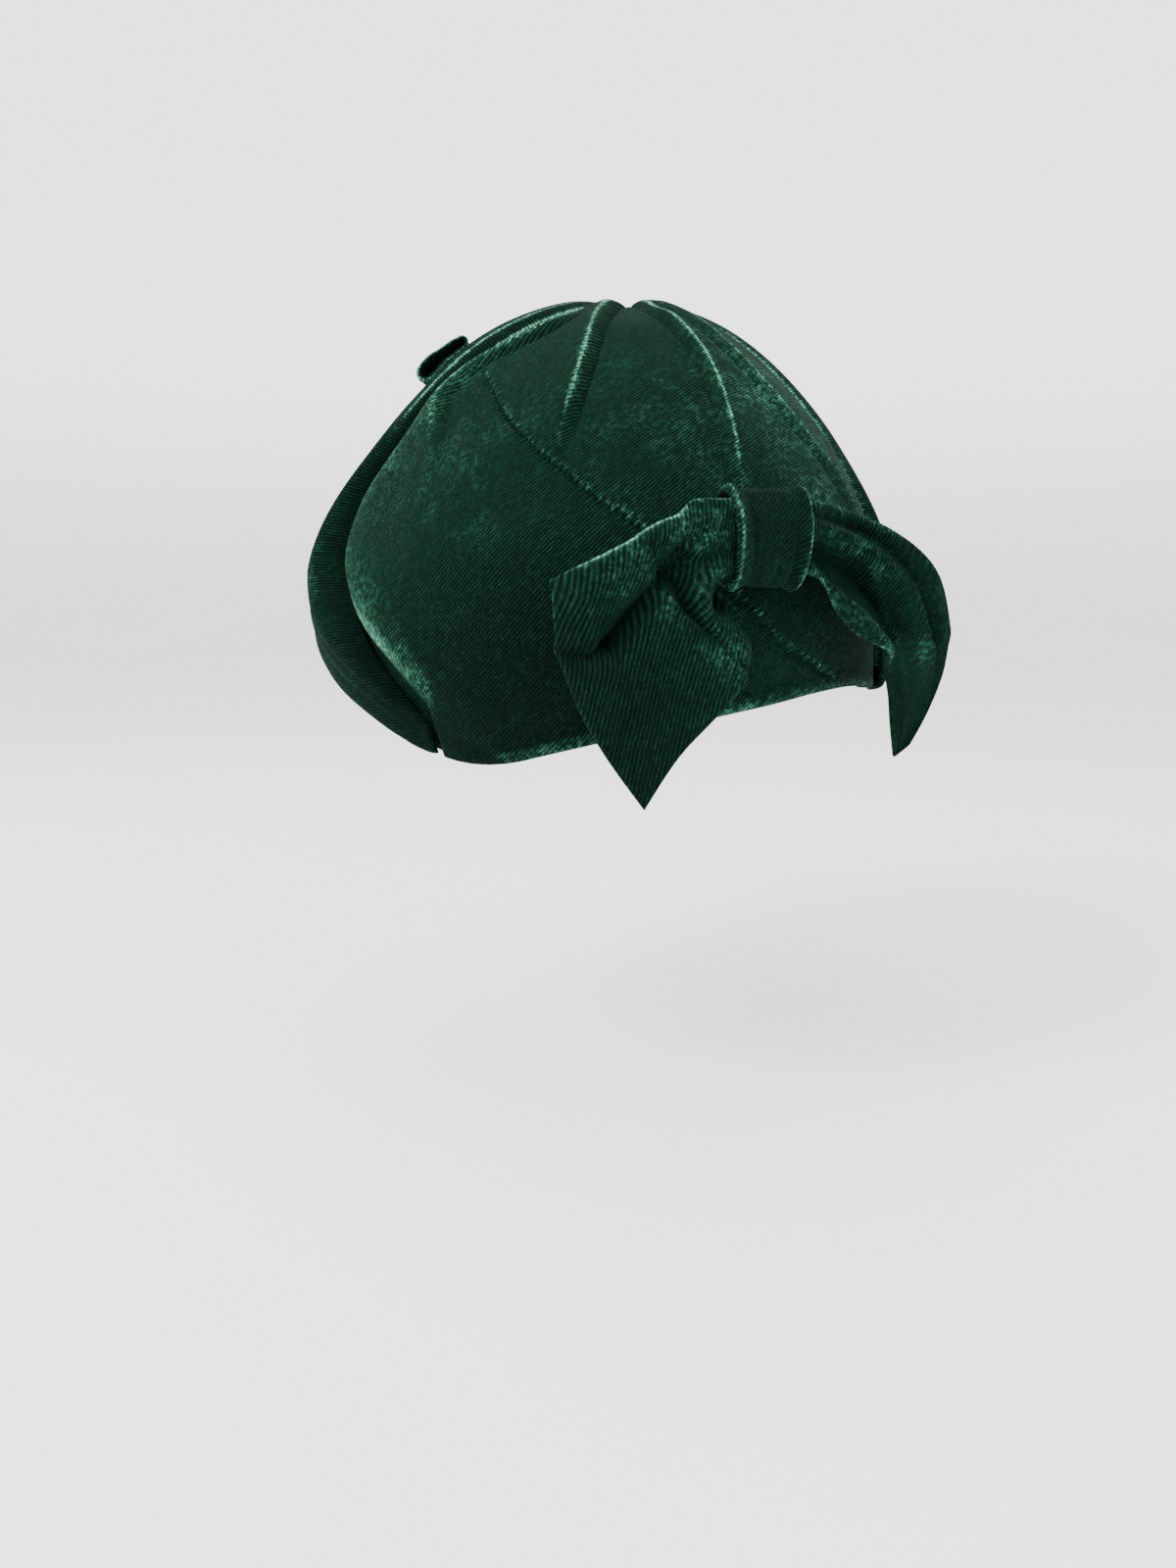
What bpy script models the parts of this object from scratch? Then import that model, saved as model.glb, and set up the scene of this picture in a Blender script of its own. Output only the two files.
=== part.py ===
"""Tilt hat of ribbed velvet: pleated crown, turned-up brim, front loop and a bow with two tails.

The wearer faces -Y and looks level, the wearer's left is +X and up is +Z.  An azimuth is an
angle round the head seen from above: 0 at the front, 90 at the wearer's left, 180 at the back.
A slope is an angle on the crown's form: 90 at its top, 0 at its widest level, below 0 under it.
The origin is the point inside the top of the crown where the head holds the hat.
"""

import math

import bpy
import numpy as np

NAME = "tilt_hat"

# Sizes in metres
CLOTH = 0.0022              # velvet with its backing
GAP = 0.0003                # room between pieces that rest on each other
CROWN_REACH = 0.119         # largest distance of the crown from the head's axis
CROWN_RISE = 0.105          # height of the crown above its widest level
CROWN_CONE = 0.075          # how far the flanks are flatter than an ellipse, as a share
CROWN_TUCK = 0.27           # how far the wall draws in below the widest level, as a share
PLEAT_HEIGHT = 0.0034       # height of the tallest pleat
SEAM_DEPTH = 0.0008         # groove of the slanting seam
SEAM_WIDTH = 0.0050
BRIM_SEAT = 0.0045          # how far the crown dips to pass under the brim
BRIM_DIP = 0.010            # length of that dip
BRIM_MARGIN = 0.004         # how far outside the brim the dip is done
BRIM_LIFT = 0.0150          # how far the brim's rolled side stands off its seat
LOOP_LIFT = 0.0055          # how far the front loop stands off the brim
LOOP_CLOTH = 0.0014
LOOP_SEAT = 0.485           # height of the brim under the loop, as a share of BRIM_LIFT
KNOT_WIDTH = 0.0285         # bow knot, along the bow
KNOT_HEIGHT = 0.0315
KNOT_DEPTH = 0.018
KNOT_CLOTH = 0.0026
KNOT_FLARE = 1.06           # how much wider the band is at its hems, as a share
KNOT_NARROW = 0.06          # how much narrower the band is below than above, as a share
KNOT_SIDE = 0.0125          # from the head's middle to the knot's middle, to the left
KNOT_SLOPE = 6.0            # slope of the crown where the knot lies, degrees
TAIL_SPAN = 0.100           # length that the shares of the two tails are taken from
TAIL_FOLD = 0.0075          # depth of the deepest fold of the tails
TAIL_CLOTH = 0.0026
TAIL_ROOM = 0.0011          # room in the knot above and below the tails' roots
FOLD_EDGE = 0.030           # narrowest side of a fold, as a share of TAIL_SPAN

# Counts of steps
CROWN_ROUND_STEPS = 72
CROWN_DOWN_STEPS = 17
BRIM_LONG_STEPS = 44
RING_STEPS = 28
KNOT_ACROSS_STEPS = 6
LOOP_LONG_STEPS = 6
TAIL_LONG_STEPS = 23
TAIL_ACROSS_STEPS = 17
FOLD_STEPS = 25

CENTRE_HEIGHT = -CROWN_RISE + CLOTH     # height of the widest level
FOLD_ROOT = (0.13, 0.24)                # where the folds start, as shares of TAIL_SPAN
RING_BLEND = 14.0                       # degrees over which the crown's rows are blended


def table(names, *rows):
    """Table with named columns, one row per section."""
    return {name: np.array(values, float) for name, values in zip(names.split(), zip(*rows))}


# Crown all round: reach as a share of CROWN_REACH, rim as a slope, and how much of CROWN_TUCK
CROWN = table(
    "azimuth reach rim tuck",
    (0, 0.82, 20, 1.0),
    (25, 0.83, 13, 1.0),
    (45, 0.87, 0, 1.0),
    (65, 0.93, -14, 1.0),
    (90, 1.00, -26, 1.0),
    (118, 0.985, -43, 1.0),
    (146, 0.96, -33, 1.0),
    (175, 0.93, -26, 0.8),
    (205, 0.885, -22, 0.4),
    (235, 0.85, -27, 0.0),
    (270, 0.81, -19, 0.0),
    (300, 0.80, 3, 0.5),
    (330, 0.80, 17, 1.0),
)

# Raised pleats of the crown: where each runs, its height share and its widths before and behind
PLEATS = table(
    "azimuth_top azimuth_mid azimuth_low slope_top slope_low height before behind",
    (131, 139, 139, 88, 24, 1.00, 0.014, 0.005),
    (171, 177, 175, 88, 12, 0.90, 0.005, 0.012),
    (122, 102, 111, 68, 20, 0.80, 0.010, 0.006),
    (183, 196, 214, 82, 6, 0.55, 0.008, 0.014),
)

# Slanting seam over the crown's side, as slopes at azimuths
SEAM = table(
    "azimuth slope",
    (110, 47),
    (119, 40),
    (128, 31),
    (136, 24),
    (149, 13),
    (175, -6),
    (182, -13),
    (199, -21),
)

# Brim from its end behind the left ear over the top to its end at the right: folded edge
# (azimuth and slope), rim azimuth, lift as a share of BRIM_LIFT
BRIM = table(
    "edge_azimuth edge_slope rim_azimuth lift",
    (112, -31, 112, 0.00),
    (101, -21, 102, 0.50),
    (85, -6, 79, 1.08),
    (78, 10, 60, 1.12),
    (81, 28, 42, 0.76),
    (86, 42, 25, 0.59),
    (89, 57, 10, 0.60),
    (103, 75, -5, 0.44),
    (-30, 86, -20, 0.40),
    (218, 72, -37, 0.28),
    (226, 48, -57, 0.28),
    (227, 28, -78, 0.32),
    (227, 8, -100, 0.50),
    (227, -8, -119, 0.60),
    (227, -20, -131, 0.40),
)

# Brim across: share of the way from the folded edge to the rim, share of the lift
BRIM_SECTION = table(
    "way lift",
    (0.000, 0.00),
    (0.012, 0.55),
    (0.050, 0.90),
    (0.130, 1.00),
    (0.250, 0.97),
    (0.380, 1.00),
    (0.510, 0.95),
    (0.640, 1.00),
    (0.770, 1.00),
    (0.880, 0.90),
    (0.960, 0.60),
    (1.000, 0.10),
)

# Front loop around its hollow: slope on the crown and share of LOOP_LIFT
LOOP = table(
    "slope lift",
    (50.3, 0.02),
    (47.6, 0.02),
    (45.4, 0.00),
    (44.3, 0.16),
    (43.8, 0.54),
    (44.3, 0.91),
    (45.4, 1.07),
    (47.6, 1.13),
    (50.3, 1.04),
    (53.0, 0.89),
    (55.1, 0.74),
    (55.9, 0.64),
    (56.3, 0.38),
    (55.9, 0.13),
    (55.1, 0.03),
    (53.0, 0.02),
)
LOOP_AZIMUTHS = (80, 46)    # from its open end at the side to its front end

# Tails, root to end, as shares of TAIL_SPAN from the knot's middle: along the bow, out of the
# crown and up, for the upper and the lower edge; belly is how far the sheet swells along the bow
# between its edges; in the first two rows the heights are those of the knot's hollow
LEFT_TAIL = table(
    "top_along top_out top_up low_along low_out low_up belly",
    (0.002, 0.00, 0.12, 0.002, 0.00, -0.12, 0.00),
    (0.17, 0.00, 0.12, 0.17, 0.00, -0.12, 0.00),
    (0.27, -0.02, 0.115, 0.168, 0.035, -0.185, 0.00),
    (0.33, -0.02, 0.07, 0.105, 0.05, -0.28, 0.00),
    (0.41, -0.02, 0.04, 0.08, 0.05, -0.36, 0.00),
    (0.50, -0.03, -0.01, 0.10, 0.04, -0.46, 0.01),
    (0.59, -0.05, -0.06, 0.18, 0.02, -0.57, 0.03),
    (0.66, -0.09, -0.10, 0.30, 0.00, -0.70, 0.06),
    (0.70, -0.14, -0.13, 0.40, -0.04, -0.87, 0.08),
)
RIGHT_TAIL = table(
    "top_along top_out top_up low_along low_out low_up belly",
    (0.002, 0.00, 0.12, 0.002, 0.00, -0.12, 0.00),
    (0.17, 0.00, 0.12, 0.17, 0.00, -0.12, 0.00),
    (0.32, -0.05, 0.11, 0.27, 0.01, -0.23, 0.00),
    (0.53, -0.04, 0.04, 0.37, 0.00, -0.31, 0.00),
    (0.74, -0.07, -0.07, 0.52, -0.04, -0.38, 0.00),
    (0.89, -0.14, -0.22, 0.62, -0.10, -0.52, 0.00),
    (0.95, -0.19, -0.47, 0.68, -0.15, -0.66, 0.02),
    (0.82, -0.22, -0.75, 0.75, -0.21, -0.79, 0.00),
)

# Folds of the tails: the run of each through four points, along the bow and up, its height as a
# share of TAIL_FOLD, and its widths to the left and to the right of its run
LEFT_FOLDS = table(
    "x1 y1 x2 y2 x3 y3 x4 y4 height left right",
    (0.16, 0.070, 0.34, 0.035, 0.50, -0.05, 0.63, -0.17, 0.75, 0.090, 0.085),
    (0.31, -0.055, 0.382, -0.13, 0.453, -0.216, 0.531, -0.324, -0.60, 0.040, 0.034),
    (0.53, -0.335, 0.58, -0.36, 0.63, -0.365, 0.68, -0.345, -0.28, 0.022, 0.030),
    (0.15, 0.015, 0.235, -0.008, 0.305, -0.036, 0.355, -0.085, 0.50, 0.013, 0.060),
    (0.392, -0.135, 0.339, -0.225, 0.250, -0.300, 0.140, -0.395, 0.55, 0.170, 0.014),
    (0.15, -0.080, 0.245, -0.125, 0.235, -0.240, 0.125, -0.365, 0.50, 0.034, 0.052),
    (0.145, -0.150, 0.165, -0.160, 0.185, -0.185, 0.190, -0.215, -0.25, 0.034, 0.034),
    (0.335, -0.130, 0.315, -0.175, 0.285, -0.225, 0.225, -0.300, -0.40, 0.020, 0.030),
)
RIGHT_FOLDS = table(
    "x1 y1 x2 y2 x3 y3 x4 y4 height left right",
    (0.16, 0.045, 0.378, -0.005, 0.60, -0.150, 0.80, -0.380, 0.80, 0.018, 0.080),
    (0.20, 0.095, 0.45, 0.055, 0.75, -0.105, 0.90, -0.330, 0.30, 0.040, 0.040),
    (0.20, -0.035, 0.33, -0.090, 0.46, -0.180, 0.57, -0.290, -0.70, 0.050, 0.045),
    (0.16, -0.100, 0.27, -0.185, 0.41, -0.275, 0.53, -0.370, 0.75, 0.022, 0.045),
    (0.43, -0.100, 0.49, -0.170, 0.54, -0.250, 0.59, -0.330, 0.30, 0.022, 0.022),
    (0.24, 0.070, 0.45, 0.020, 0.68, -0.140, 0.86, -0.380, -0.22, 0.020, 0.016),
)


def smooth_step(value, start, stop):
    """Ease from 0 at start to 1 at stop."""
    share = np.clip((value - start) / (stop - start), 0.0, 1.0)
    return share * share * (3.0 - 2.0 * share)


def round_value(azimuth, rows, name):
    """Column of a closed table at any azimuth, blended over RING_BLEND degrees each way."""
    spread = np.linspace(-1.0, 1.0, 9) * RING_BLEND
    samples = np.interp(
        np.asarray(azimuth)[..., None] + spread, rows["azimuth"], rows[name], period=360.0
    )
    return samples.mean(axis=-1)


def along(position, values):
    """Smooth curve through equally spaced values, read at positions from 0 to 1."""
    values = np.asarray(values, float)
    last = len(values) - 1
    place = np.clip(position, 0.0, 1.0) * last
    first = np.clip(np.floor(place).astype(int), 0, last - 1)
    part = place - first
    part = part.reshape(part.shape + (1,) * (values.ndim - 1))
    before = values[np.maximum(first - 1, 0)]
    start = values[first]
    stop = values[first + 1]
    after = values[np.minimum(first + 2, last)]
    return start + 0.5 * part * (
        stop - before
        + part * (2 * before - 5 * start + 4 * stop - after
                  + part * (3 * (start - stop) + after - before))
    )


def form(azimuth, slope, lift):
    """Points on the crown's form, a lift outside it."""
    azimuth, slope, lift = np.broadcast_arrays(azimuth, slope, lift)
    turn = np.radians(azimuth)
    tilt = np.radians(slope)
    up = np.maximum(tilt, 0.0)
    share = np.clip(slope, 0.0, 90.0) / 90.0
    cone = 1.0 - CROWN_CONE * 9.5 * share**1.4 * (1.0 - share) ** 2
    reach = round_value(azimuth, CROWN, "reach") * CROWN_REACH
    tuck = round_value(azimuth, CROWN, "tuck") * CROWN_TUCK
    tuck = 1.0 - tuck * np.sin(np.minimum(tilt, 0.0)) ** 2
    out = reach * np.cos(up) * cone * tuck + lift * np.cos(up)
    height = CROWN_RISE * np.sin(tilt) * cone + lift * np.sin(up)
    return np.stack((out * np.sin(turn), -out * np.cos(turn), CENTRE_HEIGHT + height), axis=-1)


def crown_relief(azimuth, slope):
    """Height of the pleats over the crown's form, less the groove of the seam."""
    out = CROWN_REACH * np.cos(np.radians(np.maximum(slope, 0.0))) + 0.004
    relief = np.zeros(np.broadcast(azimuth, slope).shape)
    for pleat in zip(*PLEATS.values()):
        azimuth_top, azimuth_mid, azimuth_low, slope_top, slope_low, height, before, behind = pleat
        way = np.clip((slope_top - slope) / (slope_top - slope_low), 0.0, 1.0)
        middle = along(way, (azimuth_top, azimuth_mid, azimuth_low))
        aside = np.radians(azimuth - middle) * out
        width = np.where(aside < 0.0, before, behind)
        fade = smooth_step(slope, slope_low - 8, slope_low + 14)
        fade = fade * (1.0 - smooth_step(slope, slope_top - 6, slope_top + 3))
        relief += PLEAT_HEIGHT * height * fade * np.exp(-np.abs(aside / width) ** 1.5)
    return relief


def direction(azimuth, slope):
    """Unit directions for azimuths and slopes."""
    turn, tilt = np.radians(azimuth), np.radians(slope)
    return np.stack(
        (np.sin(turn) * np.cos(tilt), -np.cos(turn) * np.cos(tilt), np.sin(tilt)), axis=-1
    )


def brim_lines(position):
    """Directions of the brim's folded edge and of its rim, at positions along it."""
    edge = along(position, direction(BRIM["edge_azimuth"], BRIM["edge_slope"]))
    edge /= np.linalg.norm(edge, axis=-1, keepdims=True)
    rim_azimuth = along(position, BRIM["rim_azimuth"])
    return edge, direction(rim_azimuth, round_value(rim_azimuth, CROWN, "rim"))


def under_brim(azimuth, slope):
    """Share of the way that the crown has dipped to its seat under the brim."""
    edge, rim = brim_lines(np.linspace(0.0, 1.0, 8 * BRIM_LONG_STEPS + 1))
    run = np.gradient(edge, axis=0)
    run /= np.linalg.norm(run, axis=-1, keepdims=True)
    inward = np.cross(edge, run)
    inward *= np.sign((inward * (rim - edge)).sum(axis=-1, keepdims=True))
    heading = direction(azimuth + 0.0 * slope, slope + 0.0 * azimuth)
    nearest = np.argmax(heading @ edge.T, axis=-1)
    away = (heading - edge[nearest]) * CROWN_REACH
    inside = (away * inward[nearest]).sum(axis=-1)
    beyond = []
    for end, within in ((0, len(edge) // 8), (-1, -len(edge) // 8)):
        out = np.cross(edge[end], rim[end] - edge[end])
        out *= -np.sign(out @ (edge[within] - edge[end])) / np.linalg.norm(out)
        beyond.append((heading - edge[end]) @ out * CROWN_REACH)
    beyond = np.select(
        (nearest < len(edge) // 5, nearest > 4 * len(edge) // 5), beyond, default=0.0
    )
    share = smooth_step(inside, -BRIM_DIP - BRIM_MARGIN, -BRIM_MARGIN)
    return share * (1.0 - smooth_step(beyond, BRIM_MARGIN, BRIM_MARGIN + BRIM_DIP))


def crown_surface(azimuth, slope):
    """Lift of the crown's outer face over its form: pleats, seam and seat of the brim."""
    seam = np.interp(azimuth, SEAM["azimuth"], SEAM["slope"], left=200.0, right=200.0)
    aside = np.radians(slope - seam) * CROWN_RISE / SEAM_WIDTH
    groove = SEAM_DEPTH * np.exp(-aside * aside)
    seat = under_brim(azimuth, slope)
    return (crown_relief(azimuth, slope) - groove) * (1.0 - seat) - BRIM_SEAT * seat


def grid_faces(rows, columns, closed=False):
    """Quads between neighbouring rows and columns of a grid of points."""
    faces = []
    across = columns if closed else columns - 1
    for row in range(rows - 1):
        for column in range(across):
            beside = (column + 1) % columns
            faces.append((
                row * columns + column,
                row * columns + beside,
                (row + 1) * columns + beside,
                (row + 1) * columns + column,
            ))
    return faces


def add_piece(name, points, faces, material, thickness, offset):
    """Open surface of a piece given its cloth thickness by Solidify."""
    mesh = bpy.data.meshes.new(name)
    mesh.from_pydata([tuple(point) for point in points.reshape(-1, 3)], [], faces)
    mesh.update()
    piece = bpy.data.objects.new(name, mesh)
    collection.objects.link(piece)
    mesh.materials.append(material)
    mesh.polygons.foreach_set("use_smooth", [True] * len(mesh.polygons))
    solidify = piece.modifiers.new("cloth", "SOLIDIFY")
    solidify.thickness = thickness
    solidify.offset = offset
    return piece


def velvet(name, colour, roughness):
    """Velvet material of one piece."""
    material = bpy.data.materials.new(name)
    material.use_nodes = True
    shader = material.node_tree.nodes["Principled BSDF"]
    shader.inputs["Base Color"].default_value = (*colour, 1.0)
    shader.inputs["Roughness"].default_value = roughness
    shader.inputs["Metallic"].default_value = 0.0
    return material


def draw_to_pleats(azimuth, slope):
    """Columns of the crown's grid, each column next to a pleat drawn on to its line."""
    drawn = azimuth + 0.0 * slope
    step = 360.0 / CROWN_ROUND_STEPS
    for pleat in zip(*PLEATS.values()):
        azimuth_top, azimuth_mid, azimuth_low, slope_top, slope_low = pleat[:5]
        way = np.clip((slope_top - slope) / (slope_top - slope_low), 0.0, 1.0)
        middle = along(way, (azimuth_top, azimuth_mid, azimuth_low))
        column = step * np.round(azimuth_mid / step)
        near = np.exp(-((azimuth - column) / (1.5 * step)) ** 2)
        drawn = drawn + np.clip(middle - column, -1.2 * step, 1.2 * step) * near
    return drawn


def build_crown():
    """Pleated shell over the head, open below; its wall runs from the top down to the rim."""
    azimuth = np.arange(CROWN_ROUND_STEPS) * 360.0 / CROWN_ROUND_STEPS
    rim = round_value(azimuth, CROWN, "rim")
    way = np.linspace(0.0, 1.0, CROWN_DOWN_STEPS + 1)[1:, None]
    slope = 90.0 + (rim - 90.0) * way
    azimuth = draw_to_pleats(azimuth, slope)
    rings = form(azimuth, slope, crown_surface(azimuth, slope))
    top = np.array((0.0, 0.0, CLOTH))
    points = np.vstack((top, rings.reshape(-1, 3)))
    faces = [
        tuple(index + 1 for index in face)
        for face in grid_faces(CROWN_DOWN_STEPS, CROWN_ROUND_STEPS, closed=True)
    ]
    for column in range(CROWN_ROUND_STEPS):
        faces.append((0, 1 + (column + 1) % CROWN_ROUND_STEPS, 1 + column))
    faces = [face[::-1] for face in faces]
    return add_piece("crown", points, faces, crown_velvet, CLOTH, -1.0)


def build_brim():
    """Turned-up brim: a broad sheet over the front of the crown with a rolled edge."""
    position = np.linspace(0.0, 1.0, BRIM_LONG_STEPS + 1)
    edge, rim = brim_lines(position)
    way = BRIM_SECTION["way"][None, :, None]
    heading = edge[:, None] * (1.0 - way) + rim[:, None] * way
    heading /= np.linalg.norm(heading, axis=-1, keepdims=True)
    azimuth = np.degrees(np.arctan2(heading[..., 0], -heading[..., 1]))
    slope = np.degrees(np.arcsin(np.clip(heading[..., 2], -1.0, 1.0)))
    lift = along(position, BRIM["lift"])[:, None] * BRIM_SECTION["lift"][None, :] * BRIM_LIFT
    points = form(azimuth, slope, CLOTH + 1.5 * GAP - BRIM_SEAT + lift)
    faces = [face[::-1] for face in grid_faces(len(position), len(BRIM_SECTION["way"]))]
    return add_piece("brim", points, faces, brim_velvet, CLOTH, -1.0)


def build_loop():
    """Front loop: a flattened hollow of folded velvet that lies on the brim."""
    azimuth = np.linspace(*LOOP_AZIMUTHS, LOOP_LONG_STEPS + 1)[:, None]
    turn = np.linspace(0.0, 1.0, RING_STEPS + 1)[:-1]
    closed = {name: np.append(values, values[:1]) for name, values in LOOP.items()}
    slope = along(turn, closed["slope"])[None, :]
    lift = along(turn, closed["lift"])[None, :] * LOOP_LIFT
    seat = BRIM_LIFT * LOOP_SEAT + GAP
    points = form(azimuth, slope, lift + seat)
    faces = grid_faces(LOOP_LONG_STEPS + 1, RING_STEPS, closed=True)
    return add_piece("front_loop", points, faces, loop_velvet, LOOP_CLOTH, -1.0)


def knot_middle():
    """Middle of the knot, set so that its back just clears the crown all over."""
    azimuth = 180.0 - math.degrees(math.asin(KNOT_SIDE / CROWN_REACH))
    share = np.linspace(-1.0, 1.0, 21)
    beside = azimuth + share[None, :] * math.degrees(KNOT_WIDTH / 2 / CROWN_REACH)
    over = KNOT_SLOPE + share[:, None] * math.degrees(KNOT_HEIGHT / 2 / CROWN_RISE)
    crown = form(beside, over, crown_surface(beside, over))
    flare = 1.0 + (KNOT_FLARE - 1.0) * np.abs(share) ** 3
    back = KNOT_DEPTH / 2 * flare * np.sqrt(1.0 - share[:, None] ** 2)
    middle = form(azimuth, KNOT_SLOPE, 0.0)
    middle[1] = (crown[..., 1] + back).max() + GAP
    return middle


def build_knot():
    """Band wrapped round the middle of the bow, open at both sides for the tails."""
    turn = np.linspace(0.0, 2.0 * math.pi, RING_STEPS + 1)[:-1][None, :]
    across = np.linspace(-0.5, 0.5, KNOT_ACROSS_STEPS + 1)[:, None]
    flare = 1.0 + (KNOT_FLARE - 1.0) * np.abs(2.0 * across) ** 3
    narrow = 1.0 + KNOT_NARROW * np.sin(turn)
    points = np.stack((
        -across * KNOT_WIDTH * narrow,
        KNOT_DEPTH / 2 * np.cos(turn) * flare,
        KNOT_HEIGHT / 2 * np.sin(turn) * flare,
    ), axis=-1)
    faces = [face[::-1] for face in grid_faces(KNOT_ACROSS_STEPS + 1, RING_STEPS, closed=True)]
    return add_piece("bow_knot", points + knot_middle(), faces, knot_velvet, KNOT_CLOTH, -1.0)


def fold_relief(places, folds):
    """Height of the folds at places on a tail, as a share of TAIL_FOLD: each falls off with the
    distance from its run, by its own width on either side."""
    relief = np.zeros(places.shape[:-1])
    for fold in zip(*folds.values()):
        run = along(np.linspace(0.0, 1.0, FOLD_STEPS), np.reshape(fold[:8], (4, 2)))
        height, left, right = fold[8:]
        away = places[..., None, :] - run
        nearest = np.linalg.norm(away, axis=-1).argmin(axis=-1)
        away = np.take_along_axis(away, nearest[..., None, None], axis=-2)[..., 0, :]
        heading = np.gradient(run, axis=0)[nearest]
        turned = heading[..., 0] * away[..., 1] - heading[..., 1] * away[..., 0]
        width = np.maximum(np.where(turned > 0.0, left, right), FOLD_EDGE)
        relief += height * np.exp(-(np.linalg.norm(away, axis=-1) / width) ** 1.6)
    return relief * smooth_step(places[..., 0], *FOLD_ROOT)


def build_tail(name, rows, folds, side):
    """Tail of the bow: a sheet between its upper and lower edges, raised along its folds."""
    way = np.linspace(0.0, 1.0, TAIL_LONG_STEPS + 1)
    across = np.linspace(0.0, 1.0, TAIL_ACROSS_STEPS + 1)
    root = (KNOT_HEIGHT / 2 - KNOT_CLOTH - TAIL_ROOM) / TAIL_SPAN
    rows = rows | {
        "top_up": np.append((root, root), rows["top_up"][2:]),
        "low_up": np.append((-root, -root), rows["low_up"][2:]),
    }
    edges = [
        np.stack([along(way, rows[f"{edge}_{axis}"]) for axis in ("along", "out", "up")], axis=-1)
        for edge in ("top", "low")
    ]
    sheet = edges[0][:, None] * (1.0 - across[:, None]) + edges[1][:, None] * across[:, None]
    sheet[..., 0] += along(way, rows["belly"])[:, None] * np.sin(math.pi * across)
    points = sheet * TAIL_SPAN * np.array((side, 1.0, 1.0))
    points[..., 1] += fold_relief(sheet[..., ::2], folds) * TAIL_FOLD
    faces = grid_faces(TAIL_LONG_STEPS + 1, TAIL_ACROSS_STEPS + 1)
    if side < 0:
        faces = [face[::-1] for face in faces]
    return add_piece(name, points + knot_middle(), faces, tail_velvet, TAIL_CLOTH, 0.0)


for item in list(bpy.data.objects):
    bpy.data.objects.remove(item)
collection = bpy.data.collections.new(NAME)
bpy.context.scene.collection.children.link(collection)
crown_velvet = velvet("crown_velvet", (0.012, 0.085, 0.052), 0.75)
brim_velvet = velvet("brim_velvet", (0.014, 0.092, 0.056), 0.75)
loop_velvet = velvet("loop_velvet", (0.012, 0.082, 0.050), 0.75)
knot_velvet = velvet("knot_velvet", (0.010, 0.072, 0.046), 0.70)
tail_velvet = velvet("tail_velvet", (0.013, 0.088, 0.054), 0.72)
build_crown()
build_brim()
build_loop()
build_knot()
build_tail("bow_tail_left", LEFT_TAIL, LEFT_FOLDS, 1.0)
build_tail("bow_tail_right", RIGHT_TAIL, RIGHT_FOLDS, -1.0)
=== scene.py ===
"""Tilt hat of ribbed velvet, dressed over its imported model."""

import math

import bpy
import numpy as np
from bpy.props import FloatProperty, FloatVectorProperty, PointerProperty
from mathutils import Matrix, Vector


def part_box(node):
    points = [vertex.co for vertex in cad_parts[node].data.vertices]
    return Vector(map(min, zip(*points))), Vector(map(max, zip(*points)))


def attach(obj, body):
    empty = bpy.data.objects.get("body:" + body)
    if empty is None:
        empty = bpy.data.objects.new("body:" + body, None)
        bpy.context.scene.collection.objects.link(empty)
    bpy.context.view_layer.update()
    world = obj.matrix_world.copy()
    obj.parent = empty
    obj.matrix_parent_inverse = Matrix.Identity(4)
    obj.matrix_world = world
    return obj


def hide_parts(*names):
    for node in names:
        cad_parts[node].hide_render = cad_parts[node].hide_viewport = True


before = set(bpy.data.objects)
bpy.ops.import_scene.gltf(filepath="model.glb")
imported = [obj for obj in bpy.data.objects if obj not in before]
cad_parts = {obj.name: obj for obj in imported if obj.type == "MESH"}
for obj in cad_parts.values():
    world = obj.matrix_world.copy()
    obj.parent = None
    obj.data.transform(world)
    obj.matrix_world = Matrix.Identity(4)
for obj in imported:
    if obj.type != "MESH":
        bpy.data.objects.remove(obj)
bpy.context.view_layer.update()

bl_info = {
    "name": "Tilt Hat",
    "version": (1, 0, 0),
    "blender": (4, 5, 0),
    "location": "3D View > Sidebar > Tilt Hat",
    "description": "Builds the velvet pieces of a tilt hat and its studio",
    "category": "Object",
}

# Sizes that the pieces share with the solids, in metres and degrees
CLOTH = 0.0022
GAP = 0.0003
CROWN_REACH = 0.119
CROWN_RISE = 0.105
CROWN_CONE = 0.075
CROWN_TUCK = 0.27
PLEAT_HEIGHT = 0.0034
BRIM_SEAT = 0.0045
BRIM_DIP = 0.010
BRIM_MARGIN = 0.004
BRIM_LIFT = 0.0150
LOOP_LIFT = 0.0055
LOOP_CLOTH = 0.0014
LOOP_SEAT = 0.485
KNOT_WIDTH = 0.0285
KNOT_HEIGHT = 0.0315
KNOT_DEPTH = 0.018
KNOT_CLOTH = 0.0026
KNOT_FLARE = 1.06
KNOT_NARROW = 0.06
KNOT_SIDE = 0.0125
KNOT_SLOPE = 6.0
TAIL_SPAN = 0.100
TAIL_FOLD = 0.0075
TAIL_CLOTH = 0.0026
TAIL_ROOM = 0.0011
FOLD_ROOT = (0.11, 0.27)
FOLD_STEPS = 49
CENTRE_HEIGHT = -CROWN_RISE + CLOTH
RING_BLEND = 14.0
CONE_SCALE = 9.5
CONE_POWER = 1.4

# Finer sizes of the velvet, in metres: seam, pleats' grooves and crests, puff, folds and ribs
SEAM_START = (108, 114)
SEAM_LAP = 0.0007
SEAM_GROOVE = 0.0012
PLEAT_POWER = 1.4
GROOVE_PLACE = 0.0022
GROOVE_WIDTH = 0.0021
CREST_PLACE = 0.0002
CREST_WIDTH = 0.0009
PUFF_HEIGHT = 0.0034
PUFF_PLACE = -0.024
PUFF_WIDTH = 0.012
BRIM_END_RISE = 0.0017
BRIM_SWELL = 0.0012
BRIM_RIDGE = 0.0020
FOLD_HELD = 0.0044
RIB_HEIGHT = 0.00010

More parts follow.
